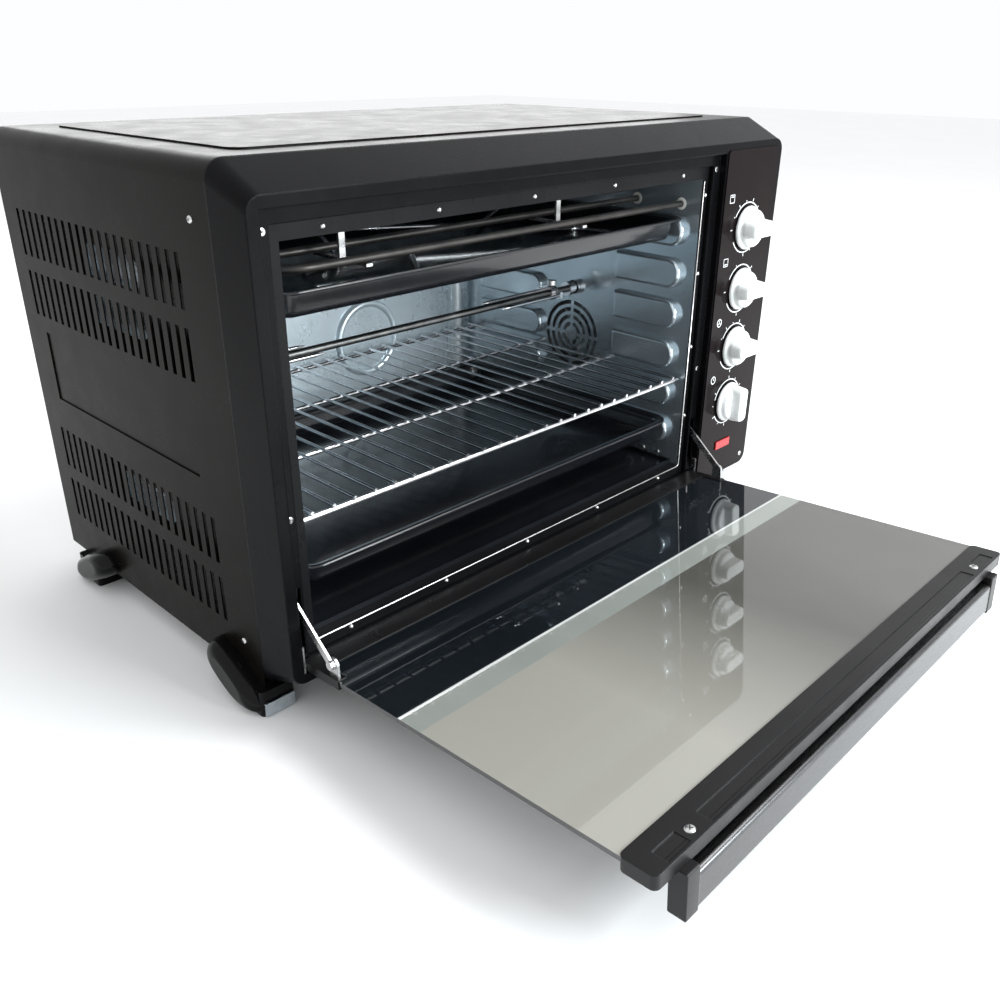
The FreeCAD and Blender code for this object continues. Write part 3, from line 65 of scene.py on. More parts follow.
BEZEL_Y = lo("front_frame").y           # front of the bezel
PANEL_Y = lo("control_panel").y         # front of the control panel


# ------------------------------------------------------------------ mesh helpers
def add_object(name, me, smooth):
    """Object for a mesh; without smooth, its faces keep the shading that they have."""
    if smooth:
        for p in me.polygons:
            p.use_smooth = True
    o = bpy.data.objects.new(name, me)
    SCENE.collection.objects.link(o)
    return o


def from_lists(name, verts, faces, smooth=True):
    me = bpy.data.meshes.new(name)
    me.from_pydata([tuple(v) for v in verts], [], faces)
    me.update()
    return add_object(name, me, smooth)


def from_bm(name, bm, smooth=True):
    me = bpy.data.meshes.new(name)
    bm.normal_update()
    bm.to_mesh(me)
    bm.free()
    return add_object(name, me, smooth)


def join(name, objs):
    """One mesh object out of several, modifiers applied."""
    bpy.context.view_layer.update()
    graph = bpy.context.evaluated_depsgraph_get()
    bm = bmesh.new()
    materials = []
    for o in objs:
        me = bpy.data.meshes.new_from_object(o.evaluated_get(graph))
        me.transform(o.matrix_world)
        for p in me.polygons:
            p.material_index += len(materials)
        materials += list(o.data.materials)
        bm.from_mesh(me)
        bpy.data.meshes.remove(me)
    for o in objs:
        bpy.data.objects.remove(o)
    out = from_bm(name, bm, smooth=False)
    for material in materials:
        out.data.materials.append(material)
    return out


def sharp(o, degrees):
    """Smooth shading, with edges above the angle kept sharp."""
    o.data.polygons.foreach_set("use_smooth", [True] * len(o.data.polygons))
    o.data.set_sharp_from_angle(angle=math.radians(degrees))
    return o


def face_outward(o):
    bm = bmesh.new()
    bm.from_mesh(o.data)
    bmesh.ops.recalc_face_normals(bm, faces=bm.faces)
    bm.to_mesh(o.data)
    bm.free()
    return o


def lathe(name, profile, segments, axis, at=(0, 0, 0)):
    """Turn (radius, along) points about the y or z axis through at."""
    verts, faces = [], []
    n = len(profile)
    for i in range(segments):
        a = 2 * math.pi * i / segments
        for r, h in profile:
            u, v = r * math.cos(a), r * math.sin(a)
            p = (u, h, v) if axis == "y" else (u, v, h)
            verts.append(Vector(p) + Vector(at))
    for i in range(segments):
        j = (i + 1) % segments
        for k in range(n - 1):
            faces.append((i * n + k, j * n + k, j * n + k + 1, i * n + k + 1))
    me = bpy.data.meshes.new("profile")
    me.from_pydata([tuple(v) for v in verts], [], faces)
    bm = bmesh.new()
    bm.from_mesh(me)
    bpy.data.meshes.remove(me)
    bmesh.ops.remove_doubles(bm, verts=bm.verts, dist=1e-6)
    bmesh.ops.recalc_face_normals(bm, faces=bm.faces)
    return from_bm(name, bm)


def box_obj(name, a, b):
    """Box between two corners."""
    a, b = Vector(a), Vector(b)
    bm = bmesh.new()
    bmesh.ops.create_cube(bm, size=1)
    for v in bm.verts:
        for i in range(3):
            v.co[i] = a[i] + (v.co[i] + 0.5) * (b[i] - a[i])
    return from_bm(name, bm, smooth=False)


def rounded_rectangle(x0, x1, y0, y1, r, steps):
    """Outline points, counter-clockwise, steps + 1 of them at each corner from the upper right."""
    points = []
    corners = ((x1 - r, y1 - r), (x0 + r, y1 - r), (x0 + r, y0 + r), (x1 - r, y0 + r))
    for quarter, (cx, cy) in enumerate(corners):
        for k in range(steps + 1):
            t = math.radians(90 * quarter + 90 * k / steps)
            points.append((cx + r * math.cos(t), cy + r * math.sin(t)))
    return points


def ring_faces(rings, n, closed=False):
    """Quads between neighbouring rings of n points; closed joins the last ring to the first."""
    faces = []
    for i in range(rings if closed else rings - 1):
        j = (i + 1) % rings
        for k in range(n):
            k2 = (k + 1) % n
            faces.append((i * n + k, i * n + k2, j * n + k2, j * n + k))
    return faces


def islands(node):
    """Lower and upper corners of the loose parts of a CAD node."""
    me = NODES[node].data
    keys = {}
    index = []
    for v in me.vertices:
        key = tuple(round(c, 5) for c in v.co)
        index.append(keys.setdefault(key, len(keys)))
    parent = list(range(len(keys)))

    def find(a):
        while parent[a] != a:
            parent[a] = parent[parent[a]]
            a = parent[a]
        return a

    for p in me.polygons:
        first = find(index[p.vertices[0]])
        for vi in p.vertices[1:]:
            parent[find(index[vi])] = first
            first = find(first)
    groups = {}
    for i, v in enumerate(me.vertices):
        groups.setdefault(find(index[i]), []).append(v.co.copy())
    boxes = []
    for points in groups.values():
        columns = list(zip(*points))
        boxes.append((Vector([min(c) for c in columns]), Vector([max(c) for c in columns])))
    return boxes


# ------------------------------------------------------------------ material helpers
class Mat:
    """A Principled material with short names for the nodes that drive it."""

    def __init__(self, name):
        self.mat = bpy.data.materials.new(name)
        self.mat.use_nodes = True
        self.nt = self.mat.node_tree
        self.bsdf = self.nt.nodes["Principled BSDF"]
        self.tc = self.nt.nodes.new("ShaderNodeTexCoord")

    def node(self, kind, **values):
        n = self.nt.nodes.new(kind)
        for key, value in values.items():
            if key in n.inputs:
                n.inputs[key].default_value = value
            else:
                setattr(n, key, value)
        return n

    def link(self, a, b):
        self.nt.links.new(a, b)

    def coords(self, scale=(1, 1, 1)):
        n = self.node("ShaderNodeMapping", Scale=scale)
        self.link(self.tc.outputs["Object"], n.inputs["Vector"])
        return n.outputs["Vector"]

    def split(self, kind):
        """Separate x, y and z of the Object or Normal coordinate."""
        n = self.node("ShaderNodeSeparateXYZ")
        self.link(self.tc.outputs[kind], n.inputs[0])
        return n.outputs

    def noise(self, scale, detail=3, rough=0.55, vector=None):
        n = self.node("ShaderNodeTexNoise", Scale=scale, Detail=detail, Roughness=rough)
        self.link(vector or self.coords(), n.inputs["Vector"])
        return n.outputs["Fac"]

    def ramp(self, fac, a, b, start=0.3, end=0.7):
        """Colour a at start to colour b at end."""
        n = self.node("ShaderNodeValToRGB")
        for element, position, color in zip(n.color_ramp.elements, (start, end), (a, b)):
            element.position = position
            element.color = (*color, 1)
        self.link(fac, n.inputs["Fac"])
        return n.outputs["Color"]

    def span(self, fac, a, b, start=0.3, end=0.7):
        """Value a at start to value b at end."""
        n = self.node("ShaderNodeMapRange")
        for key, value in (("From Min", start), ("From Max", end), ("To Min", a), ("To Max", b)):
            n.inputs[key].default_value = value
        self.link(fac, n.inputs["Value"])
        return n.outputs["Result"]

    def calc(self, operation, *terms):
        n = self.node("ShaderNodeMath", operation=operation)
        for socket, term in zip(n.inputs, terms):
            if isinstance(term, float):
                socket.default_value = term
            else:
                self.link(term, socket)
        return n.outputs[0]

    def mix(self, fac, a, b):
        n = self.node("ShaderNodeMix", data_type="RGBA")
        self.link(fac, n.inputs[0])
        for socket, color in ((n.inputs[6], a), (n.inputs[7], b)):
            if isinstance(color, tuple):
                socket.default_value = (*color, 1)
            else:
                self.link(color, socket)
        return n.outputs[2]

    def bump(self, height, strength, distance):
        n = self.node("ShaderNodeBump", Strength=strength, Distance=distance)
        self.link(height, n.inputs["Height"])
        self.link(n.outputs["Normal"], self.bsdf.inputs["Normal"])
        return n

    def set(self, **values):
        for key, value in values.items():
            socket = self.bsdf.inputs[key.replace("_", " ")]
            if isinstance(value, tuple) and socket.type == "RGBA":
                value = (*value, 1)
            socket.default_value = value

    def color(self, out):
        self.link(out, self.bsdf.inputs["Base Color"])

    def rough(self, out):
        self.link(out, self.bsdf.inputs["Roughness"])


WEAR_WIDTH = 0.0012                     # worn strip along painted edges
PEEL_HEIGHT = 0.00025                   # orange peel in paint
GRAIN_HEIGHT = 0.0002                   # grain in metal


def rounded_normal(m, radius):
    return m.node("ShaderNodeBevel", samples=4, Radius=radius).outputs["Normal"]


def edge_mask(m, radius):
    """1 near outer edges, from the difference between the rounded and the true normal."""
    dot = m.node("ShaderNodeVectorMath", operation="DOT_PRODUCT")
    m.link(rounded_normal(m, radius), dot.inputs[0])
    m.link(m.node("ShaderNodeNewGeometry").outputs["Normal"], dot.inputs[1])
    return m.span(dot.outputs["Value"], 1.0, 0.0, 0.75, 0.98)


def painted(name, a, b, rough, peel=0.12, peel_scale=900, coat=0.0, spec=0.5, wear=None, edge=0.0):
    """Paint, enamel or moulding: wear is the colour of worn edges, edge a radius that rounds them."""
    m = Mat(name)
    color = m.ramp(m.noise(9, 4), a, b)
    if wear:
        patches = m.span(m.noise(260), 0.0, 0.55, 0.45, 0.75)
        color = m.mix(m.calc("MULTIPLY", edge_mask(m, WEAR_WIDTH), patches), color, wear)
    m.color(color)
    m.rough(m.span(m.noise(34, 5), *rough))
    skin = m.bump(m.noise(peel_scale, 2), peel, PEEL_HEIGHT)
    if edge:
        m.link(rounded_normal(m, edge), skin.inputs["Normal"])
    m.set(Specular_IOR_Level=spec)
    if coat:
        m.set(Coat_Weight=coat, Coat_Roughness=0.08)
    return m.mat


def grained(m, fine, grain, rough, strength):
    """Roughness from a fine grain and a slow smear, and the grain once more as bump."""
    smear = m.noise(22, 5, 0.65)
    m.rough(m.calc("ADD", m.span(fine, *grain), m.span(smear, *rough)))
    m.bump(fine, strength, GRAIN_HEIGHT)


def metal(name, a, b, rough, stretch=(1, 1, 1), grain=300, strength=0.06, cloud=7, metallic=1.0):
    """Bare metal: grain is its scale, stretch its direction, cloud the scale of the colour."""
    m = Mat(name)
    m.color(m.ramp(m.noise(cloud, 5, 0.6), a, b))
    fine = m.noise(grain, 3, 0.6, m.coords(stretch))
    grained(m, fine, (-0.4 * strength, 0.5 * strength), rough, strength)
    m.set(Metallic=metallic)
    return m.mat


def wall_material():
    """Bright steel inside the cavity; the faces that look at the case are painted dull and dark as
    shade.
    """
    m = Mat("cavity_wall_steel")
    x0, x1 = lo("liner_left").x, hi("liner_right").x
    half = (x1 - x0) / 2
    off = m.calc("SUBTRACT", m.split("Object")["X"], (x0 + x1) / 2)
    painted_shade_faces = m.span(m.calc("ABSOLUTE", off), 0.0, 1.0, half - 0.0004, half - 0.0002)
    steel = m.ramp(m.noise(2.5, 5, 0.6), (0.52, 0.60, 0.65), (0.62, 0.70, 0.75))
    # painted shade: near black on the faces that look at the case
    m.color(m.mix(painted_shade_faces, steel, (0.012, 0.011, 0.011)))
    fine = m.noise(500, 3, 0.6, m.coords((0.06, 1, 1)))
    grained(m, fine, (-0.003, 0.004), (0.17, 0.23), 0.008)
    m.set(Metallic=0.85)
    return m.mat


def knob_material():
    m = Mat("knob_white")
    m.color(m.ramp(m.noise(26, 4), (0.74, 0.76, 0.75), (0.86, 0.88, 0.88)))
    m.rough(m.span(m.noise(120, 4), 0.24, 0.38))
    m.bump(m.noise(1800, 2), 0.05, 0.0002)
    m.set(Subsurface_Weight=0.05, Subsurface_Radius=(0.003, 0.003, 0.003), Specular_IOR_Level=0.5)
    return m.mat


def handle_material():
    """Dark brushed bar with painted highlights along its edges."""
    m = Mat("handle_brushed")
    slow = m.noise(5, 4, 0.6, m.coords((0.2, 1, 1)))
    base = m.ramp(slow, (0.075, 0.075, 0.078), (0.125, 0.125, 0.128))
    # painted highlight: light grey along the edges
    m.color(m.mix(edge_mask(m, 0.0016), base, (0.62, 0.62, 0.62)))
    grain = m.noise(2600, 3, 0.6, m.coords((0.03, 1, 1)))
    m.rough(m.span(grain, 0.22, 0.32))
    m.bump(grain, 0.08, 0.0002)
    m.set(Metallic=1.0)
    return m.mat


def print_material():
    m = Mat("panel_print_white")
    m.color(m.ramp(m.noise(700, 4), (0.50, 0.52, 0.52), (0.80, 0.82, 0.82), 0.2, 0.55))
    m.rough(m.span(m.noise(300), 0.40, 0.55))
    m.bump(m.noise(2500, 2), 0.1, 0.0001)
    return m.mat


def lamp_material():
    """Red lens with upright ribs and a faint glow."""
    m = Mat("lamp_lens_red")
    ribs = m.node("ShaderNodeTexWave", Scale=260.0, Distortion=0.0)
    m.link(m.coords((1, 0, 0)), ribs.inputs["Vector"])
    m.color(m.ramp(ribs.outputs["Fac"], (0.26, 0.004, 0.008), (0.50, 0.012, 0.018), 0.1, 0.9))
    m.rough(m.span(m.noise(200), 0.16, 0.28))
    m.bump(ribs.outputs["Fac"], 0.25, 0.0004)
    m.set(Emission_Color=(0.8, 0.02, 0.02), Emission_Strength=0.08)
    return m.mat


BAND_START, BAND_END = -0.1505, -0.1765     # pale band painted in: a lit table edge seen through the glass, on the door's own y axis
BAND_BLUR = 0.0004                          # half width of its two edges
BAND_RIM_START, BAND_RIM_END = 0.0024, 0.0030   # painted highlight: a pale rim along the band's start
CLEAR_ALPHA, DARK_ALPHA = 0.86, 0.94        # the strip beside the hinge lets less through, so its painted shade shows more


def glass_material():
    """Door glass with painted light on its inner face: a painted shade strip by the hinge, a pale
    band painted as a lit table edge seen through, and a painted view of the floor beyond, lighter to
    the left.
    """
    m = Mat("door_glass_painted_light")
    place = m.split("Object")
    inner = m.span(m.split("Normal")["Z"], 0.0, 1.0, 0.2, 0.6)
    past_dark = m.span(place["Y"], 1.0, 0.0, BAND_START - BAND_BLUR, BAND_START + BAND_BLUR)
    past_band = m.span(place["Y"], 1.0, 0.0, BAND_END - BAND_BLUR, BAND_END + BAND_BLUR)
    past_rim = m.span(place["Y"], 1.0, 0.0, BAND_START - BAND_RIM_END, BAND_START - BAND_RIM_START)
    # painted shade: the dark strip by the hinge stands for the shadow under the oven seen through the
    # glass
    dark = m.ramp(m.noise(3.2), (0.005, 0.007, 0.009), (0.010, 0.013, 0.016))
    streaks = m.noise(5.0, 4, 0.6, m.coords((1, 0.2, 1)))
    # painted band: a lit table edge seen through the glass, with a painted highlight along its rim
    band = m.ramp(streaks, (0.24, 0.26, 0.24), (0.34, 0.36, 0.33))
    band = m.mix(past_rim, (0.62, 0.64, 0.62), band)
    # painted view of the floor seen through the glass beyond the band
    clouds = m.noise(2.6, 4, 0.6, m.coords((1.0, 0.45, 1.0)))
    painted_floor_view = m.ramp(clouds, (0.055, 0.055, 0.050), (0.100, 0.098, 0.088), 0.36, 0.66)
    # painted light: lighter towards the left
    painted_light_left = m.span(place["X"], 0.85, 0.0, -0.20, 0.0)
    painted_floor_view = m.mix(painted_light_left, painted_floor_view, (0.380, 0.372, 0.330))
    face = m.mix(past_dark, dark, m.mix(past_band, band, painted_floor_view))
    m.color(m.mix(inner, (0.006, 0.007, 0.008), face))
    smear = m.noise(11, 6, 0.7, m.coords((1.0, 0.35, 1.0)))
    m.rough(m.span(smear, 0.010, 0.045))
    m.bump(m.noise(4.0, 2), 0.03, 0.0006)
    m.link(m.span(past_dark, DARK_ALPHA, CLEAR_ALPHA, 0.0, 1.0), m.bsdf.inputs["Alpha"])
    m.set(IOR=1.8, Specular_IOR_Level=0.5)
    return m.mat


def dark_material():
    m = Mat("slot_shadow")
    m.color(m.ramp(m.noise(300), (0.002, 0.002, 0.002), (0.006, 0.006, 0.006)))
    m.rough(m.span(m.noise(80), 0.7, 0.9))
    return m.mat


# ------------------------------------------------------------------ materials
M = {
    "case": painted(
        "case_paint", (0.0034, 0.0028, 0.0023), (0.0058, 0.0048, 0.0040), (0.25, 0.33),
        peel=0.10, peel_scale=1300, spec=0.05, wear=(0.03, 0.027, 0.024),
    ),
    "front": painted(
        "front_paint", (0.0022, 0.0022, 0.0027), (0.0042, 0.0042, 0.0050), (0.22, 0.30),
        peel=0.08, peel_scale=1500, spec=0.07, wear=(0.03, 0.03, 0.036), edge=0.0022,
    ),
    "flange": painted(
        "flange_enamel", (0.0035, 0.0035, 0.0042), (0.0070, 0.0070, 0.0080), (0.24, 0.34),
        peel=0.08, spec=0.10,
    ),
    "tray": painted(
        "tray_enamel", (0.0040, 0.0045, 0.0058), (0.0085, 0.0095, 0.0120), (0.15, 0.24),
        peel=0.05, peel_scale=600, coat=0.2, spec=0.40, wear=(0.035, 0.037, 0.042),
    ),
    "black_plastic": painted(
        "black_moulding", (0.0040, 0.0038, 0.0042), (0.0085, 0.0080, 0.0085), (0.26, 0.38),
        peel=0.20, peel_scale=2200, spec=0.26, wear=(0.03, 0.03, 0.03), edge=0.0012,
    ),
    "foot": painted(
        "foot_moulding", (0.0018, 0.0018, 0.0022), (0.0040, 0.0040, 0.0046), (0.08, 0.15),
        peel=0.04, spec=0.16, wear=(0.04, 0.04, 0.045),
    ),
    "panel": painted(
        "panel_gloss", (0.0060, 0.0040, 0.0042), (0.0095, 0.0068, 0.0070), (0.12, 0.20),
        peel=0.02, spec=0.06,
    ),
    "ceramic": painted(
        "ceramic_cap", (0.70, 0.68, 0.63), (0.84, 0.82, 0.78), (0.45, 0.62), peel=0.15,
    ),
    "aluminised": metal(
        "aluminised_steel", (0.50, 0.59, 0.64), (0.68, 0.77, 0.82), (0.25, 0.31),
        stretch=(1, 1, 0.06), grain=500, strength=0.006, cloud=2.5, metallic=0.55,
    ),
    # painted highlight: a lighter, more diffuse copy of the cavity steel for the upright bead
    "post": metal(
        "corner_post_painted_highlight", (0.70, 0.78, 0.82), (0.80, 0.87, 0.90), (0.30, 0.40),
        stretch=(1, 1, 0.06), grain=500, strength=0.006, cloud=3, metallic=0.35,
    ),
    "galvanised": metal(
        "galvanised_steel", (0.38, 0.39, 0.40), (0.48, 0.49, 0.50), (0.34, 0.48),
        grain=240, strength=0.08, cloud=70,
    ),
    "chrome": metal(
        "chrome_wire_plate", (0.66, 0.66, 0.68), (0.86, 0.86, 0.88), (0.10, 0.22),
        grain=1500, cloud=40,
    ),
    "rod": metal(
        "spit_rod_steel", (0.09, 0.09, 0.09), (0.17, 0.17, 0.168), (0.30, 0.42),
        stretch=(0.1, 1, 1), grain=900, strength=0.08, cloud=60,
    ),
    "bright": metal(
        "bright_steel", (0.52, 0.52, 0.52), (0.72, 0.72, 0.71), (0.20, 0.34),
        stretch=(1, 0.2, 1), grain=900, strength=0.08, cloud=60,
    ),
    "heater": metal(
        "heater_sheath", (0.020, 0.019, 0.018), (0.060, 0.054, 0.050), (0.34, 0.50),
        grain=600, strength=0.10, cloud=24, metallic=0.7,
    ),
    "brass": metal("brass_shaft", (0.55, 0.42, 0.20), (0.74, 0.60, 0.34), (0.22, 0.36)),
    "foot_chrome": metal(
        "foot_chrome_face", (0.44, 0.50, 0.54), (0.62, 0.68, 0.72), (0.22, 0.34),
        stretch=(0.2, 1, 1), grain=700, cloud=50,
    ),
    "wall": wall_material(),
    "knob": knob_material(),
    "handle": handle_material(),
    "print": print_material(),
    "lamp": lamp_material(),
    "glass": glass_material(),
    "dark": dark_material(),
}

NODES_OF = {
    "case": ("case_shell",),
    "front": ("front_frame",),
    "flange": ("door_flange", "liner_floor"),
    "tray": ("upper_tray", "lower_tray", "crumb_tray"),
    "black_plastic": (
        "timer", "function_switch", "door_low_trim", "door_top_trim", "handle_ends", "cord_gland",
    ),
    "foot": ("feet",),
    "panel": ("control_panel",),
    "ceramic": ("heater_caps", "terminal_block"),
    "aluminised": ("liner_back", "liner_top", "fan_blade"),
    "galvanised": (
        "rear_cover", "base_pan", "liner_rails", "spit_motor", "fan_shroud", "fan_motor",
        "thermostats",
    ),
    "chrome": ("wire_rack", "spit_lifter", "tray_grip", "drive_socket", "spit_forks"),
    "rod": ("spit_rod",),
    "bright": (
        "flange_bumpers", "heater_brackets", "fork_screws", "spit_bearing", "arm_ears",
        "door_screws", "case_screws", "hinge_pins", "hinge_plates", "link_arm_left",
        "link_arm_right",
    ),
    "heater": ("heater_upper", "heater_lower"),
    "brass": ("shaft_1", "shaft_2", "shaft_3", "shaft_4"),
    "foot_chrome": ("foot_faces",),
    "wall": ("liner_left", "liner_right"),
    "knob": ("knob_1", "knob_2", "knob_3", "knob_4"),
    "handle": ("handle_bar",),
    "lamp": ("indicator_lamp",),
    "glass": ("door_glass",),
}
for material, names in NODES_OF.items():
    for name in names:
        me = NODES[name].data
        me.materials.clear()
        me.materials.append(M[material])
        for p in me.polygons:
            p.material_index = 0


# ------------------------------------------------------------------ rounded edges on CAD nodes
EDGE_RADIUS = {
    "door_low_trim": 0.0006,
    "handle_bar": 0.0008,
    "handle_ends": 0.0012,
    "foot_faces": 0.0006,
    "arm_ears": 0.0003,
}


def soften(node, width):
    """A small rounded edge on a carried-over CAD node."""
    o = NODES[node]
    weld = o.modifiers.new("weld", "WELD")
    weld.merge_threshold = 0.00002
    bevel = o.modifiers.new("bevel", "BEVEL")
    bevel.width = width
    bevel.segments = 2
    bevel.limit_method = "ANGLE"
    bevel.angle_limit = math.radians(40)
    bevel.harden_normals = False
    normals = o.modifiers.new("normals", "WEIGHTED_NORMAL")
    normals.keep_sharp = False
    normals.weight = 80


for node, width in EDGE_RADIUS.items():
    soften(node, width)


def finish_piece(o, mat, body, slot, *replaced):
    """Material, body and the CAD nodes that the piece stands in for; slot is not used."""
    o.data.materials.clear()
    o.data.materials.append(M[mat])
    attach(o, body)
    if replaced:
        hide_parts(*replaced)
    return o


# ------------------------------------------------------------------ knobs
# share of the knob's radius, share of its depth from the back
SKIRT_PROFILE = (
    (0.0, 0.02), (0.93, 0.02), (0.985, 0.05), (1.0, 0.10), (0.985, 0.17), (0.93, 0.22),
    (0.885, 0.26), (0.865, 0.33), (0.84, 0.46), (0.80, 0.505), (0.70, 0.53), (0.0, 0.54),
)
SKIRT_SIDES = 96
# half length and half width as shares of the radius, share of the depth from the back
GRIP_RINGS = (
    (0.90, 0.40, 0.46), (0.885, 0.385, 0.62), (0.865, 0.365, 0.80),
    (0.85, 0.35, 0.94), (0.83, 0.325, 0.988), (0.79, 0.28, 1.0),
)
GRIP_ROUNDING = 0.75                    # corner radius as a share of the half width
GRIP_STEPS = 6
KNOB_CREASE = 38                        # degrees; edges above it stay sharp


def knob(index):
    """Turned skirt and a grip bar, upright on the first knob and level on the others."""
    node = "knob_%d" % index
    a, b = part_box(node)
    c = mid(node)
    radius = (b.z - a.z) / 2
    depth = b.y - a.y
    profile = [(radius * r, b.y - t * depth - c.y) for r, t in SKIRT_PROFILE]
    skirt = lathe(node + "_skirt", profile, SKIRT_SIDES, "y", c)
    verts = []
    for length, width, t in GRIP_RINGS:
        u1, v1 = radius * length, radius * width
        for u, v in rounded_rectangle(-u1, u1, -v1, v1, v1 * GRIP_ROUNDING, GRIP_STEPS):
            dx, dz = (v, u) if index == 1 else (u, v)
            verts.append((c.x + dx, b.y - t * depth, c.z + dz))
    n = len(verts) // len(GRIP_RINGS)
    faces = ring_faces(len(GRIP_RINGS), n)
    faces.append(tuple(range(len(verts) - n, len(verts))))
    faces.append(tuple(reversed(range(n))))
    grip = face_outward(from_lists(node + "_grip", verts, faces))
    piece = sharp(join("white_" + node, [skirt, grip]), KNOB_CREASE)
    finish_piece(piece, "knob", "knob_%d_turning" % index, "knob_white", node)


for i in (1, 2, 3, 4):
    knob(i)


# ------------------------------------------------------------------ printed dials and symbols
PRINT_FRONT = PANEL_Y - 0.00012
PRINT_BACK = PANEL_Y + 0.00005
ARC_STEPS = 48


def ring_arc(cx, cz, r0, r1, a0, a1):
    """Part of a flat ring between two radii and two angles in degrees."""
    verts, faces = [], []
    for i in range(ARC_STEPS + 1):
        a = math.radians(a0 + (a1 - a0) * i / ARC_STEPS)
        for y in (PRINT_FRONT, PRINT_BACK):
            for r in (r0, r1):
                verts.append((cx + r * math.cos(a), y, cz + r * math.sin(a)))
    for i in range(ARC_STEPS):
        k = i * 4
        faces += [
            (k, k + 1, k + 5, k + 4),
            (k + 2, k + 6, k + 7, k + 3),
            (k, k + 4, k + 6, k + 2),
            (k + 1, k + 3, k + 7, k + 5),
        ]
    if a1 - a0 < 360:
        last = ARC_STEPS * 4
        faces += [(0, 2, 3, 1), (last, last + 1, last + 3, last + 2)]
    return verts, faces


def bar_shape(cx, cz, angle, r0, r1, half):
    """Flat bar that runs out from a centre at an angle in degrees."""
    a = math.radians(angle)
    along = Vector((math.cos(a), 0, math.sin(a)))
    across = Vector((-math.sin(a), 0, math.cos(a)))
    c = Vector((cx, 0, cz))
    corners = [
        c + along * r0 - across * half,
        c + along * r1 - across * half,
        c + along * r1 + across * half,
        c + along * r0 + across * half,
    ]
    verts = [(p.x, y, p.z) for y in (PRINT_FRONT, PRINT_BACK) for p in corners]
    faces = [(0, 1, 2, 3), (7, 6, 5, 4), (0, 4, 5, 1), (1, 5, 6, 2), (2, 6, 7, 3), (3, 7, 4, 0)]
    return verts, faces


def printed(name, shapes):
    verts, faces = [], []
    for shape_verts, shape_faces in shapes:
        n = len(verts)
        verts += shape_verts
        faces += [tuple(i + n for i in face) for face in shape_faces]
    o = from_lists(name, verts, faces, smooth=False)
    finish_piece(o, "print", "case", "knob_white")


KNOB_X = mid("knob_1").x
KNOB_RADIUS = (hi("knob_1").z - lo("knob_1").z) / 2
ARC_INNER, ARC_OUTER = KNOB_RADIUS * 1.12, KNOB_RADIUS * 1.17
TICK_INNER, TICK_LONG, TICK_SHORT = KNOB_RADIUS * 1.20, KNOB_RADIUS * 1.34, KNOB_RADIUS * 1.27
ARC_START = -150
# dial: end of the arc, number of ticks, angle of the first tick, turn to the last one
DIALS = {1: (165, 11, 90, 300), 2: (150, 11, 180, 270), 3: (150, 5, 180, 270), 4: (150, 11, 180, 270)}
SYMBOL_DX, SYMBOL_DZ = -0.035, 0.034    # symbol at the upper left of each dial
SYMBOL_HALF = 0.0042
THIN, MEDIUM, THICK = 0.00035, 0.0004, 0.0005   # half widths of printed lines


def square_symbol(x, z, side):
    """Square with a bar in its upper half (side 1) or its lower half (side -1)."""
    s = SYMBOL_HALF
    shapes = [bar_shape(x - s, z + dz, 0, 0, 2 * s, THIN) for dz in (-s, s)]
    shapes += [bar_shape(x + dx, z - s, 90, 0, 2 * s, THIN) for dx in (-s, s)]
    shapes.append(bar_shape(x - s * 0.6, z + side * s * 0.5, 0, 0, s * 1.2, THICK))
    return shapes


def ring_symbol(x, z, hands):
    """Ring with hands of (angle, share of the symbol's size, half width)."""
    s = SYMBOL_HALF
    shapes = [ring_arc(x, z, s * 0.9, s * 1.15, 0, 360)]
    shapes += [bar_shape(x, z, angle, 0, s * share, half) for angle, share, half in hands]
    return shapes


def dial_symbol(index, x, z):
    if index == 1:
        return ring_symbol(x, z, ((90, 0.7, MEDIUM), (0, 0.5, MEDIUM)))
    if index == 2:
        return ring_symbol(x, z, ((90, 0.7, THICK), (210, 0.7, THICK), (330, 0.7, THICK)))
    return square_symbol(x, z, 1 if index == 4 else -1)


for i, (arc_end, ticks, first, turn) in DIALS.items():
    cz = mid("knob_%d" % i).z
    shapes = [ring_arc(KNOB_X, cz, ARC_INNER, ARC_OUTER, ARC_START, arc_end)]
    for k in range(ticks):
        outer = TICK_LONG if k % 2 == 0 else TICK_SHORT
        shapes.append(bar_shape(KNOB_X, cz, first - turn * k / (ticks - 1), TICK_INNER, outer, THICK))
    printed("dial_print_%d" % i, shapes)
    printed("dial_symbol_%d" % i, dial_symbol(i, KNOB_X + SYMBOL_DX, cz + SYMBOL_DZ))


# ------------------------------------------------------------------ screws with cross recess
# share of the head's radius, share of its height
HEAD_PROFILE = (
    (0.0, 0.0), (1.0, 0.0), (0.98, 0.35), (0.86, 0.72), (0.62, 0.95), (0.30, 1.0), (0.0, 1.0),
)
HEAD_SIDES = 28
RECESS_LONG, RECESS_THIN = 0.55, 0.10   # half sizes as shares of the radius
RECESS_LOW, RECESS_TOP = 0.55, 1.03     # shares of the head's height
RECESS_TURN = 1.5                       # largest chance turn of a recess, radians
DOOR_TILT = math.radians(3.55)          # the folded door's slope
DOOR_NORMAL = Vector((0, math.sin(DOOR_TILT), math.cos(DOOR_TILT)))
DOOR_SCREW_RADIUS = 0.004
DOOR_SCREW_HEIGHT = 0.0014
WALL_SCREW_X = 0.3                      # side screws nearer the middle than this face the cavity


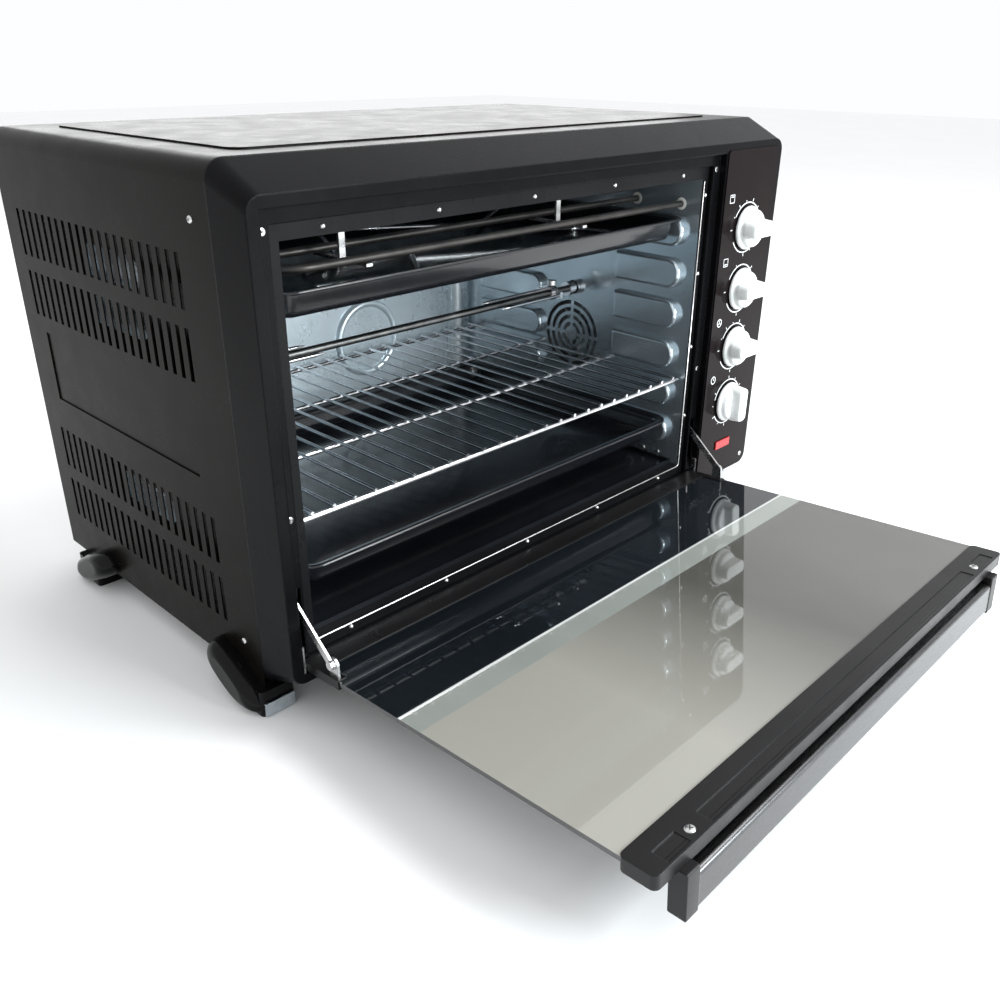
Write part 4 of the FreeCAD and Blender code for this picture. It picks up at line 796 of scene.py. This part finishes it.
def cross_head(name, center, normal, radius, height):
    """Pan head and the two bars of its recess, which carry painted shade; normal points out of the
    surface.
    """
    head = lathe(name, [(radius * r, height * h) for r, h in HEAD_PROFILE], HEAD_SIDES, "z")
    turn = Vector((0, 0, 1)).rotation_difference(normal).to_matrix().to_4x4()
    place = Matrix.Translation(center) @ turn
    head.data.transform(place)
    place = place @ Matrix.Rotation(random.random() * RECESS_TURN, 4, "Z")
    long, thin = radius * RECESS_LONG, radius * RECESS_THIN
    bars = []
    for suffix, x, y in (("_s1", long, thin), ("_s2", thin, long)):
        bar = box_obj(name + suffix, (-x, -y, height * RECESS_LOW), (x, y, height * RECESS_TOP))
        bar.data.transform(place)
        bars.append(bar)
    return head, bars


def screws(node, body, slot, piece):
    """A cross-headed screw for every loose part of a CAD node."""
    heads, bars = [], []
    for k, (a, b) in enumerate(islands(node)):
        size = b - a
        center = (a + b) * 0.5
        if node == "door_screws":
            normal, radius, height = DOOR_NORMAL, DOOR_SCREW_RADIUS, DOOR_SCREW_HEIGHT
        else:
            axis = min(range(3), key=lambda i: size[i])
            normal = Vector((0, 0, 0))
            normal[axis] = 1 if center[axis] > mid("case_shell")[axis] else -1
            if axis == 0 and abs(center.x) < WALL_SCREW_X:
                normal = Vector((-1, 0, 0))
            radius, height = max(size) / 2, size[axis]
        foot = center - normal * height * 0.5
        head, recess = cross_head("%s_%d" % (piece, k), foot, normal, radius, height)
        heads.append(head)
        bars += recess
    finish_piece(sharp(join(piece, heads), 40), "bright", body, slot, node)
    # painted shade: the recess bars are dark boxes standing in for the shadow inside the cross recess
    finish_piece(join(piece + "_recess_painted_shade", bars), "dark", body, "black_plastic")


screws("case_screws", "case", "bright_steel", "cross_screws")
screws("door_screws", "door", "bright_steel", "door_cross_screws")

# bumpers round the cavity's mouth: small domes, none at the left
DOME_SIDES = 20
DOME_DEGREES = (90, 75, 60, 45, 30, 15)     # from the rim to near the top

domes = []
for k, (a, b) in enumerate(islands("flange_bumpers")):
    c = (a + b) * 0.5
    if c.x < lo("liner_floor").x:
        continue
    radius, height = (b.x - a.x) / 2, b.y - a.y
    profile = [(0.0, b.y)]
    for degrees in DOME_DEGREES:
        t = math.radians(degrees)
        profile.append((radius * math.sin(t), b.y - height * math.cos(t)))
    profile.append((0.0, a.y))
    domes.append(lathe("dome_%d" % k, profile, DOME_SIDES, "y", (c.x, 0, c.z)))
bumpers = sharp(join("bumper_domes", domes), 50)
finish_piece(bumpers, "bright", "case", "black_plastic", "flange_bumpers")


# ------------------------------------------------------------------ trays as pressed pans
PAN_SHEET = 0.0008
PAN_CORNER = 0.024                      # corner radius of the rim
PAN_CORNER_MIN = 0.004
PAN_STEPS = 10
# inset from the rim, height against the top of the tray
PAN_RIM = (
    (0.0000, -0.0030), (0.0002, -0.0012), (0.0010, -0.0006), (0.0024, -0.0001), (0.0060, -0.0014),
    (0.0085, -0.0016), (0.0103, -0.0028), (0.0111, -0.0060), (0.0125, -0.0180),
)
# inset from the rim, height against the bottom of the tray
PAN_FLOOR = (
    (0.0133, 0.0060), (0.0151, 0.0026), (0.0185, 0.0012), (0.0385, 0.0012), (0.0425, 0.0022),
    (0.1085, 0.0022),
)


def pan(name, node, body, slot):
    """Pressed pan with a rolled rim, from the outer lip to the middle of the floor."""
    a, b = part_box(node)
    profile = [(inset, b.z + z) for inset, z in PAN_RIM]
    profile += [(inset, a.z + z) for inset, z in PAN_FLOOR]
    verts = []
    for inset, z in profile:
        r = max(PAN_CORNER - inset, PAN_CORNER_MIN)
        sides = (a.x + inset, b.x - inset, a.y + inset, b.y - inset)
        verts += [(x, y, z) for x, y in rounded_rectangle(*sides, r, PAN_STEPS)]
    n = len(verts) // len(profile)
    faces = ring_faces(len(profile), n)
    faces.append(tuple(range(len(verts) - n, len(verts))))
    o = from_lists(name, verts, faces)
    sheet = o.modifiers.new("sheet", "SOLIDIFY")
    sheet.thickness = PAN_SHEET
    sheet.offset = -1
    return finish_piece(sharp(o, 60), "tray", body, slot, node)


pan("upper_baking_pan", "upper_tray", "tray_upper", "tray_enamel")
pan("lower_baking_pan", "lower_tray", "tray_lower", "tray_enamel")


# ------------------------------------------------------------------ pressed details of the cavity
def tube_path(name, points, radius, closed, sides):
    """Round bead along points."""
    points = [Vector(p) for p in points]
    n = len(points)
    verts = []
    for i, p in enumerate(points):
        after = points[(i + 1) % n] if closed or i < n - 1 else p
        before = points[i - 1] if closed or i > 0 else p
        along = (after - before).normalized()
        side = along.cross(Vector((0, 1, 0))).normalized()
        over = side.cross(along).normalized()
        for k in range(sides):
            a = 2 * math.pi * k / sides
            verts.append(p + (side * math.cos(a) + over * math.sin(a)) * radius)
    faces = ring_faces(n, sides, closed)
    if not closed:
        faces += [tuple(range(sides)), tuple((n - 1) * sides + k for k in range(sides))]
    return face_outward(from_lists(name, verts, faces))


LIP = 0.0008                            # radius of the bead round the cavity's mouth
LIP_CORNER, LIP_STEPS, LIP_SIDES = 0.004, 8, 10
LIP_BACK = 0.0002                       # its axis, behind the front of the flange
RING_X, RING_Z = 0.043, 0.188           # pressed ring in the back wall
RING_RADIUS, RING_BEAD, RING_POINTS, RING_SIDES = 0.0445, 0.0050, 72, 16
RING_SUNK = 0.0012                      # its axis, behind the wall's front
POST_IN, POST_BEAD = 0.018, 0.0075      # upright bead in the right back corner
POST_STEPS, POST_SIDES = 12, 24
POST_SUNK = 0.0005                      # its axis, behind the wall's front
POST_GAP = 0.012                        # left free above and below it

x0, x1 = lo("liner_floor").x, hi("liner_floor").x
z0, z1 = lo("liner_back").z, hi("liner_back").z
wall_y = lo("liner_back").y

lip_y = lo("door_flange").y + LIP_BACK
outline = rounded_rectangle(x0 - LIP, x1 + LIP, z0 - LIP, z1 + LIP, LIP_CORNER, LIP_STEPS)
mouth = [(x, lip_y, z) for x, z in outline]
lower_left = 2 * (LIP_STEPS + 1) + 1    # the lip runs from there along the bottom and up the right
lip = tube_path("cavity_mouth_lip", mouth[lower_left:] + mouth[:1], LIP, False, LIP_SIDES)
finish_piece(lip, "bright", "case", "aluminised")

circle = []
for k in range(RING_POINTS):
    t = 2 * math.pi * k / RING_POINTS
    x, z = RING_X + RING_RADIUS * math.cos(t), RING_Z + RING_RADIUS * math.sin(t)
    circle.append((x, wall_y + RING_SUNK, z))
bead = tube_path("back_wall_ring_bead", circle, RING_BEAD, True, RING_SIDES)
finish_piece(bead, "aluminised", "case", "aluminised")

rise = z1 - z0 - 2 * POST_GAP
upright = [
    (x1 - POST_IN, wall_y + POST_SUNK, z0 + POST_GAP + k * rise / POST_STEPS)
    for k in range(POST_STEPS + 1)
]
post = tube_path("corner_post_bead", upright, POST_BEAD, False, POST_SIDES)
# the post material is a lighter copy of the cavity steel: painted highlight
finish_piece(post, "post", "case", "aluminised")

# ------------------------------------------------------------------ camera
CAMERA_AT = Vector((-0.6951, -0.5737 + BEZEL_Y, 0.5239))
YAW, PITCH, ROLL = 0.79841, 0.44176, 0.006823
SENSOR = 36
FOCAL = 0.9486                          # focal length as a share of the sensor's width

forward = Vector((math.sin(YAW) * math.cos(PITCH), math.cos(YAW) * math.cos(PITCH), -math.sin(PITCH)))
level = Vector((math.cos(YAW), -math.sin(YAW), 0))
upward = level.cross(forward)
right = level * math.cos(ROLL) + upward * math.sin(ROLL)
up = upward * math.cos(ROLL) - level * math.sin(ROLL)
camera = bpy.data.cameras.new("camera")
camera.sensor_width = SENSOR
camera.lens = FOCAL * SENSOR
camera.clip_start = 0.01
camera.dof.use_dof = False
camera_object = bpy.data.objects.new("camera", camera)
SCENE.collection.objects.link(camera_object)
axes = Matrix((right, up, -forward)).transposed().to_4x4()
camera_object.matrix_world = Matrix.Translation(CAMERA_AT) @ axes
SCENE.camera = camera_object

# ------------------------------------------------------------------ floor and light
FLOOR_HALF = 9
floor = box_obj("pale_floor", (-FLOOR_HALF, -FLOOR_HALF, -0.02), (FLOOR_HALF, FLOOR_HALF, 0.0))
paint = Mat("pale_floor_paint")
paint.color(paint.ramp(paint.noise(3, 4), (0.93, 0.93, 0.93), (0.95, 0.95, 0.95)))
paint.rough(paint.span(paint.noise(20), 0.75, 0.9))
paint.bump(paint.noise(400), 0.03, 0.0004)
floor.data.materials.append(paint.mat)

world = SCENE.world or bpy.data.worlds.new("studio")
SCENE.world = world
world.use_nodes = True
background = world.node_tree.nodes["Background"]
background.inputs["Color"].default_value = (0.98, 0.99, 1.0, 1)
background.inputs["Strength"].default_value = 1.0


def softbox(name, at, aim, size, watts, color=(1, 1, 1)):
    """Rectangular area light at a place, aimed at another."""
    light = bpy.data.lights.new(name, "AREA")
    light.shape = "RECTANGLE"
    light.size, light.size_y = size
    light.energy = watts
    light.color = color
    o = bpy.data.objects.new(name, light)
    o.location = at
    o.rotation_euler = (Vector(aim) - Vector(at)).to_track_quat("-Z", "Y").to_euler()
    SCENE.collection.objects.link(o)


softbox("ceiling_softbox", (1.2, -1.0, 2.5), (0, 0, 0.3), (1.3, 1.1), 45)
softbox("cavity_key", (0.45, -1.7, 0.75), (-0.10, 0.33, 0.25), (0.8, 0.6), 44, (0.90, 0.97, 1.0))
softbox("back_softbox", (1.5, 2.3, 1.2), (0, 0, 0.4), (2.6, 1.2), 20)

SCENE.view_settings.view_transform = "Standard"
